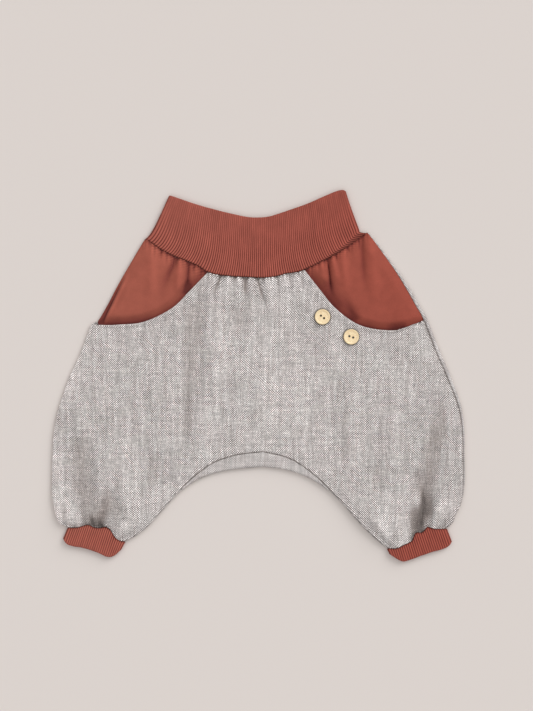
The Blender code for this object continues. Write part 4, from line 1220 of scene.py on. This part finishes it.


def woven_material():
    """Coarse plain weave of pale and grey yarns, with slubs and drifting shades; painted shade, highlight and
    light, and painted shadow round the buttons.
    """
    n = Nodes("heathered_weave", 0.92)
    grain = n.layer("grain")
    x, y, _ = n.axes(grain)
    crease, worn = n.crease()
    drift_x = n.spread(n.noise(grain, 0.02, 3.0), 0, 1, -YARN_DRIFT, YARN_DRIFT)
    drift_y = n.spread(n.noise(n.vector(y, x), 0.022, 3.0), 0, 1, -YARN_DRIFT, YARN_DRIFT)
    wx = (x + drift_x) / WARP_PITCH
    wy = (y + drift_y) / WEFT_PITCH
    crossing = n.math("SINE", wx * math.pi) * n.math("SINE", wy * math.pi)
    pillow = abs(crossing) ** 0.5

    warp_shade = n.noise(n.vector(n.math("FLOOR", wx) * 3.7, y * 0.035))
    weft_shade = n.noise(n.vector(x * 0.05, n.math("FLOOR", wy) * 4.3, 7.0))
    warp = n.mix(n.spread(warp_shade, NOISE_LOW, NOISE_HIGH), (0.70, 0.645, 0.62), (1.0, 0.96, 0.94))
    weft = n.mix(n.spread(weft_shade, NOISE_LOW, NOISE_HIGH), (0.028, 0.02, 0.019), (0.21, 0.18, 0.17))
    weave = n.mix(n.spread(crossing, -0.12, 0.12, soft=True), weft, warp)
    clear = n.spread(n.noise(grain, 0.085), 0.38, 0.56, 0.75, 1.0) * (1.0 - worn)
    # the weave grows faint deep in painted shade and on painted highlights
    clear *= n.spread(crease, 0.15, 0.5, 1.0, 0.25, soft=True)
    clear *= n.spread(crease, -0.6, 0.0, 0.6, 1.0)
    yarn = n.mix(clear, n.mix(0.5, weft, warp), weave)
    hue = n.spread(n.noise(n.vector(x, y, 40.0), 0.045, 1.0), 0.35, 0.65)
    tint = n.mix(hue, (1.013, 0.994, 0.997), (1.0, 1.003, 1.0))
    # warmer colour in the painted shade of creases
    tint = n.mix(n.spread(crease, 0.1, 0.8), tint, (1.07, 0.98, 0.94))

    thin_yarns = n.streaks(x, y, 1.6, 0.14, 11.0, 0.24) * n.streaks(x, y, 0.14, 1.6, 17.0, 0.24)
    flecks = n.spread(n.noise(grain, 0.85, 1.0), NOISE_LOW, NOISE_HIGH, 0.76, 1.26)
    shade = n.spread(worn, 0.0, 1.0, thin_yarns * flecks, 1.0)
    shade *= n.spread(n.noise(grain, 0.06, 5.0, 0.72), 0.25, 0.75, 0.88, 1.13)
    shade *= n.streaks(x, y, 0.24, 0.012, 0.0, 0.13) * n.streaks(x, y, 0.02, 0.3, 3.0, 0.09)
    # painted shade in creases and painted highlight on ridges
    shade *= n.spread(pillow, 0, 1, 0.82, 1.06) * n.crease_tone(WOVEN_CREASE_TONE)
    # painted light: paler in the middle, darker towards the sides
    shade *= n.spread((x / MIDDLE_REACH) ** 2.0, 0.0, 1.0, 1.09, 1.055, soft=True)
    place_x, place_y, _ = n.axes(n.place())
    # painted shadow on the cloth round each button
    for button in BUTTONS:
        away = n.distance(place_x, place_y, button.x * MM, button.y * MM)
        shade *= n.spread(away, BUTTON_RADIUS * MM, (BUTTON_RADIUS + BUTTON_SHADOW_REACH) * MM, BUTTON_SHADE, 1.0)
    n.colour(n.scale(n.of_vectors("MULTIPLY", {0: yarn, 1: tint}), shade))
    n.bump(pillow + warp_shade * 0.6, 0.00018, 0.6)
    n.sheen(0.06, 0.5, (0.9, 0.88, 0.86))
    return n.material


def jersey_material():
    """Smooth cotton jersey with fine wales, with painted shade in its creases and painted light paler on the
    left.
    """
    n = Nodes("rust_jersey", 0.85)
    grain = n.layer("grain")
    x, y, _ = n.axes(grain)
    wale = abs(n.math("SINE", x * (math.pi / WALE_PITCH)))
    course = abs(n.math("SINE", (y + wale * 0.3) * (math.pi / COURSE_PITCH)))
    shade = n.varied(n.noise(grain, 0.12, 3.0), 0.06) * n.varied(n.noise(n.vector(x, y * 0.6), 1.3), 0.05)
    # painted shade in creases and painted highlight on ridges
    shade *= n.spread(wale * course, 0, 1, 0.93, 1.04) * n.crease_tone(JERSEY_CREASE_TONE)
    # redder colour in the painted shade of creases
    deep = n.spread(n.crease()[0], 0.1, 0.9)
    left = n.mix(deep, (0.358, 0.096, 0.064), (0.335, 0.073, 0.059))
    right = n.mix(deep, (0.324, 0.071, 0.047), (0.305, 0.054, 0.043))
    # painted light: paler on the left, darker on the right
    n.colour(n.scale(n.side_mix(left, right), shade))
    n.bump(wale * course, 0.00008, 0.5)
    n.sheen(0.12, 0.4, (0.95, 0.6, 0.5))
    return n.material


def rib_material():
    """Rib knit: pale rounded ridges and painted shade in the narrow valleys, fainter away from the seam, with
    painted shade at the seam and painted light paler on the left.
    """
    n = Nodes("rust_rib", 0.85)
    phase, along, _ = n.axes(n.layer("grain"))
    aside = abs(n.spread(phase, 0.0, WAIST_RIBS, -1.0, 1.0))
    corner = n.spread(aside, 0.55, 0.95, soft=True) * n.spread(along, 5.0, 35.0, 0.0, 0.65)
    clear = n.spread(along, 8.0, 60.0, 1.0, 0.5, soft=True) * (1.0 - corner)
    ridge = abs(n.math("COSINE", phase * math.pi)) ** 1.1
    ridge = clear * (ridge - RIB_MEAN) + RIB_MEAN
    stitch = abs(n.math("SINE", along * (math.pi / STITCH_PITCH)))
    specks = n.noise(n.vector(phase * 2.0, along * 0.9), 1.3)
    shade = n.varied(n.noise(n.vector(n.math("ROUND", phase) * 5.3, along * 0.05)), 0.1)
    shade *= n.varied(specks, 0.1) * n.spread(stitch, 0, 1, 0.94, 1.03)
    shade *= n.varied(n.noise(n.vector(phase * 0.1, along * 0.06)), 0.07)
    # painted shade right at the seam
    shade *= n.spread(along, 0.3, 1.6, 0.6, 1.0)
    # painted light: paler crests on the left, darker on the right
    crests = n.side_mix((0.47, 0.134, 0.096), (0.415, 0.099, 0.070))
    # painted shade in the valleys between the ribs
    n.colour(n.scale(n.mix(ridge, (0.095, 0.013, 0.008), crests), shade))
    n.bump(stitch + specks, 0.00008, 0.5)
    n.sheen(0.1, 0.4, (0.95, 0.6, 0.5))
    return n.material


def wood_material():
    """Pale turned wood with fine grain, with painted shade at the rim and round the holes."""
    n = Nodes("pale_wood", 0.5)
    x, y, z = n.axes(n.place())
    long_grain = n.noise(n.vector(x * 0.25, y, z), 1400.0, 3.0, 0.6)
    pores = n.noise(n.vector(x * 0.3, y, z), 3200.0)
    colour = n.mix(n.spread(long_grain, NOISE_LOW, NOISE_HIGH), (0.84, 0.59, 0.33), (1.0, 0.86, 0.58))
    shade = n.spread(pores, 0.3, 0.6, 0.80, 1.06)
    # painted shade towards the rim
    start, end = [(BUTTON_RADIUS - inset) * MM for inset in RIM_SHADE]
    shade *= n.spread(n.distance(x, y), start, end, 1.0, 0.35, soft=True)
    # painted shade round the holes
    start, end = [(BUTTON_HOLE_RADIUS + outset) * MM for outset in HOLE_SHADE]
    shade *= n.spread(n.distance(abs(x), y, BUTTON_HOLE_OFFSET * MM), start, end, 0.03, 1.0)
    n.colour(n.scale(colour, shade))
    n.bump(long_grain, 0.00006, 0.4)
    return n.material


# ---- stage, light and camera ----

PIXEL = 0.94  # millimetres of the garment to a pixel of the photograph's frame
FRAME_HEIGHT = 711
VIEW_CENTRE = (7.5, 19.3)
FOCUS_LEVEL = 3.0
LENS = 85.0
SENSOR = 36.0
AMBIENT = 0.36  # share of the floor's light that comes from all round,
OVERHEAD_SHARE = 0.40  # from a wide light straight above
KEY_SHARE = 0.25  # and from the key
OVERHEAD_SPREAD = 110.0  # degrees
KEY_RISE = 30.0  # degrees above the floor
KEY_TURN = 48.0  # degrees from +X towards +Y
KEY_SPREAD = 40.0
FLOOR_REACH = 6.0  # metres
FLOOR_DROP = 0.2  # millimetres below the garment
FARTHEST = 20.0  # metres that the camera sees


def make_stage():
    data = bpy.data.meshes.new("floor")
    corners = [(x * FLOOR_REACH, y * FLOOR_REACH, 0) for x, y in ((-1, -1), (1, -1), (1, 1), (-1, 1))]
    data.from_pydata(corners, [], [(0, 1, 2, 3)])
    floor = bpy.data.objects.new("floor", data)
    floor.location = (0, 0, -FLOOR_DROP * MM)
    bpy.context.scene.collection.objects.link(floor)
    n = Nodes("floor_paper", 0.95)
    n.shader.inputs["Base Color"].default_value = (0.70, 0.64, 0.605, 1.0)
    floor.data.materials.append(n.material)


def add_sun(name, share, rise, turn, spread):
    """A far light that gives its share of the floor's light, at a rise above the floor and a turn from +X."""
    rise, turn = math.radians(rise), math.radians(turn)
    data = bpy.data.lights.new(name, "SUN")
    data.angle = math.radians(spread)
    data.energy = share * math.pi / math.sin(rise)
    lamp = bpy.data.objects.new(name, data)
    toward = Vector((math.cos(rise) * math.cos(turn), math.cos(rise) * math.sin(turn), math.sin(rise)))
    lamp.rotation_mode = "QUATERNION"
    lamp.rotation_quaternion = toward.to_track_quat("Z", "Y")
    bpy.context.scene.collection.objects.link(lamp)


def make_light():
    """Even light from all round and above, and a soft key from the garment's upper right."""
    world = bpy.data.worlds.new("studio")
    world.use_nodes = True
    background = world.node_tree.nodes["Background"]
    background.inputs["Color"].default_value = (1.0, 1.0, 1.0, 1.0)
    background.inputs["Strength"].default_value = AMBIENT
    bpy.context.scene.world = world
    add_sun("overhead", OVERHEAD_SHARE, 90.0, 0.0, OVERHEAD_SPREAD)
    add_sun("key", KEY_SHARE, KEY_RISE, KEY_TURN, KEY_SPREAD)
    settings = bpy.context.scene.view_settings
    settings.view_transform = "Standard"
    settings.look = "None"


def make_camera():
    data = bpy.data.cameras.new("camera")
    data.lens = LENS
    data.sensor_width = SENSOR
    data.clip_end = FARTHEST
    camera = bpy.data.objects.new("camera", data)
    height = PIXEL * FRAME_HEIGHT * LENS / SENSOR + FOCUS_LEVEL
    camera.location = (VIEW_CENTRE[0] * MM, VIEW_CENTRE[1] * MM, height * MM)
    bpy.context.scene.collection.objects.link(camera)
    bpy.context.scene.camera = camera


# ---- the dressed garment ----

def dress(piece, node, finish):
    piece.data.materials.append(finish)
    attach(piece, "root")
    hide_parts(node)


def build():
    left, right = HALVES
    weave, jersey, rib, wood = woven_material(), jersey_material(), rib_material(), wood_material()
    front = cloth_object("front_cloth", front_patches(left) + front_patches(right), WOVEN_OUT, WOVEN_IN, 1)
    dress(front, "front_panel", weave)
    back = cloth_object("back_cloth", back_patches(left) + back_patches(right), WOVEN_OUT, WOVEN_IN, -1)
    dress(back, "back_panel", weave)
    for half, pocket in zip(HALVES, POCKETS):
        name = f"pocket_{pocket.side}"
        piece = cloth_object(name + "_cloth", pocket_patches(half, pocket), JERSEY_OUT, JERSEY_IN, 1)
        dress(piece, name, jersey)
    for tube in TUBES:
        piece = rib_tube(tube)
        dress(piece, tube.name, rib)
    for button in BUTTONS:
        dress(button_object(button), button.name, wood)


make_camera()
make_light()
make_stage()
build()
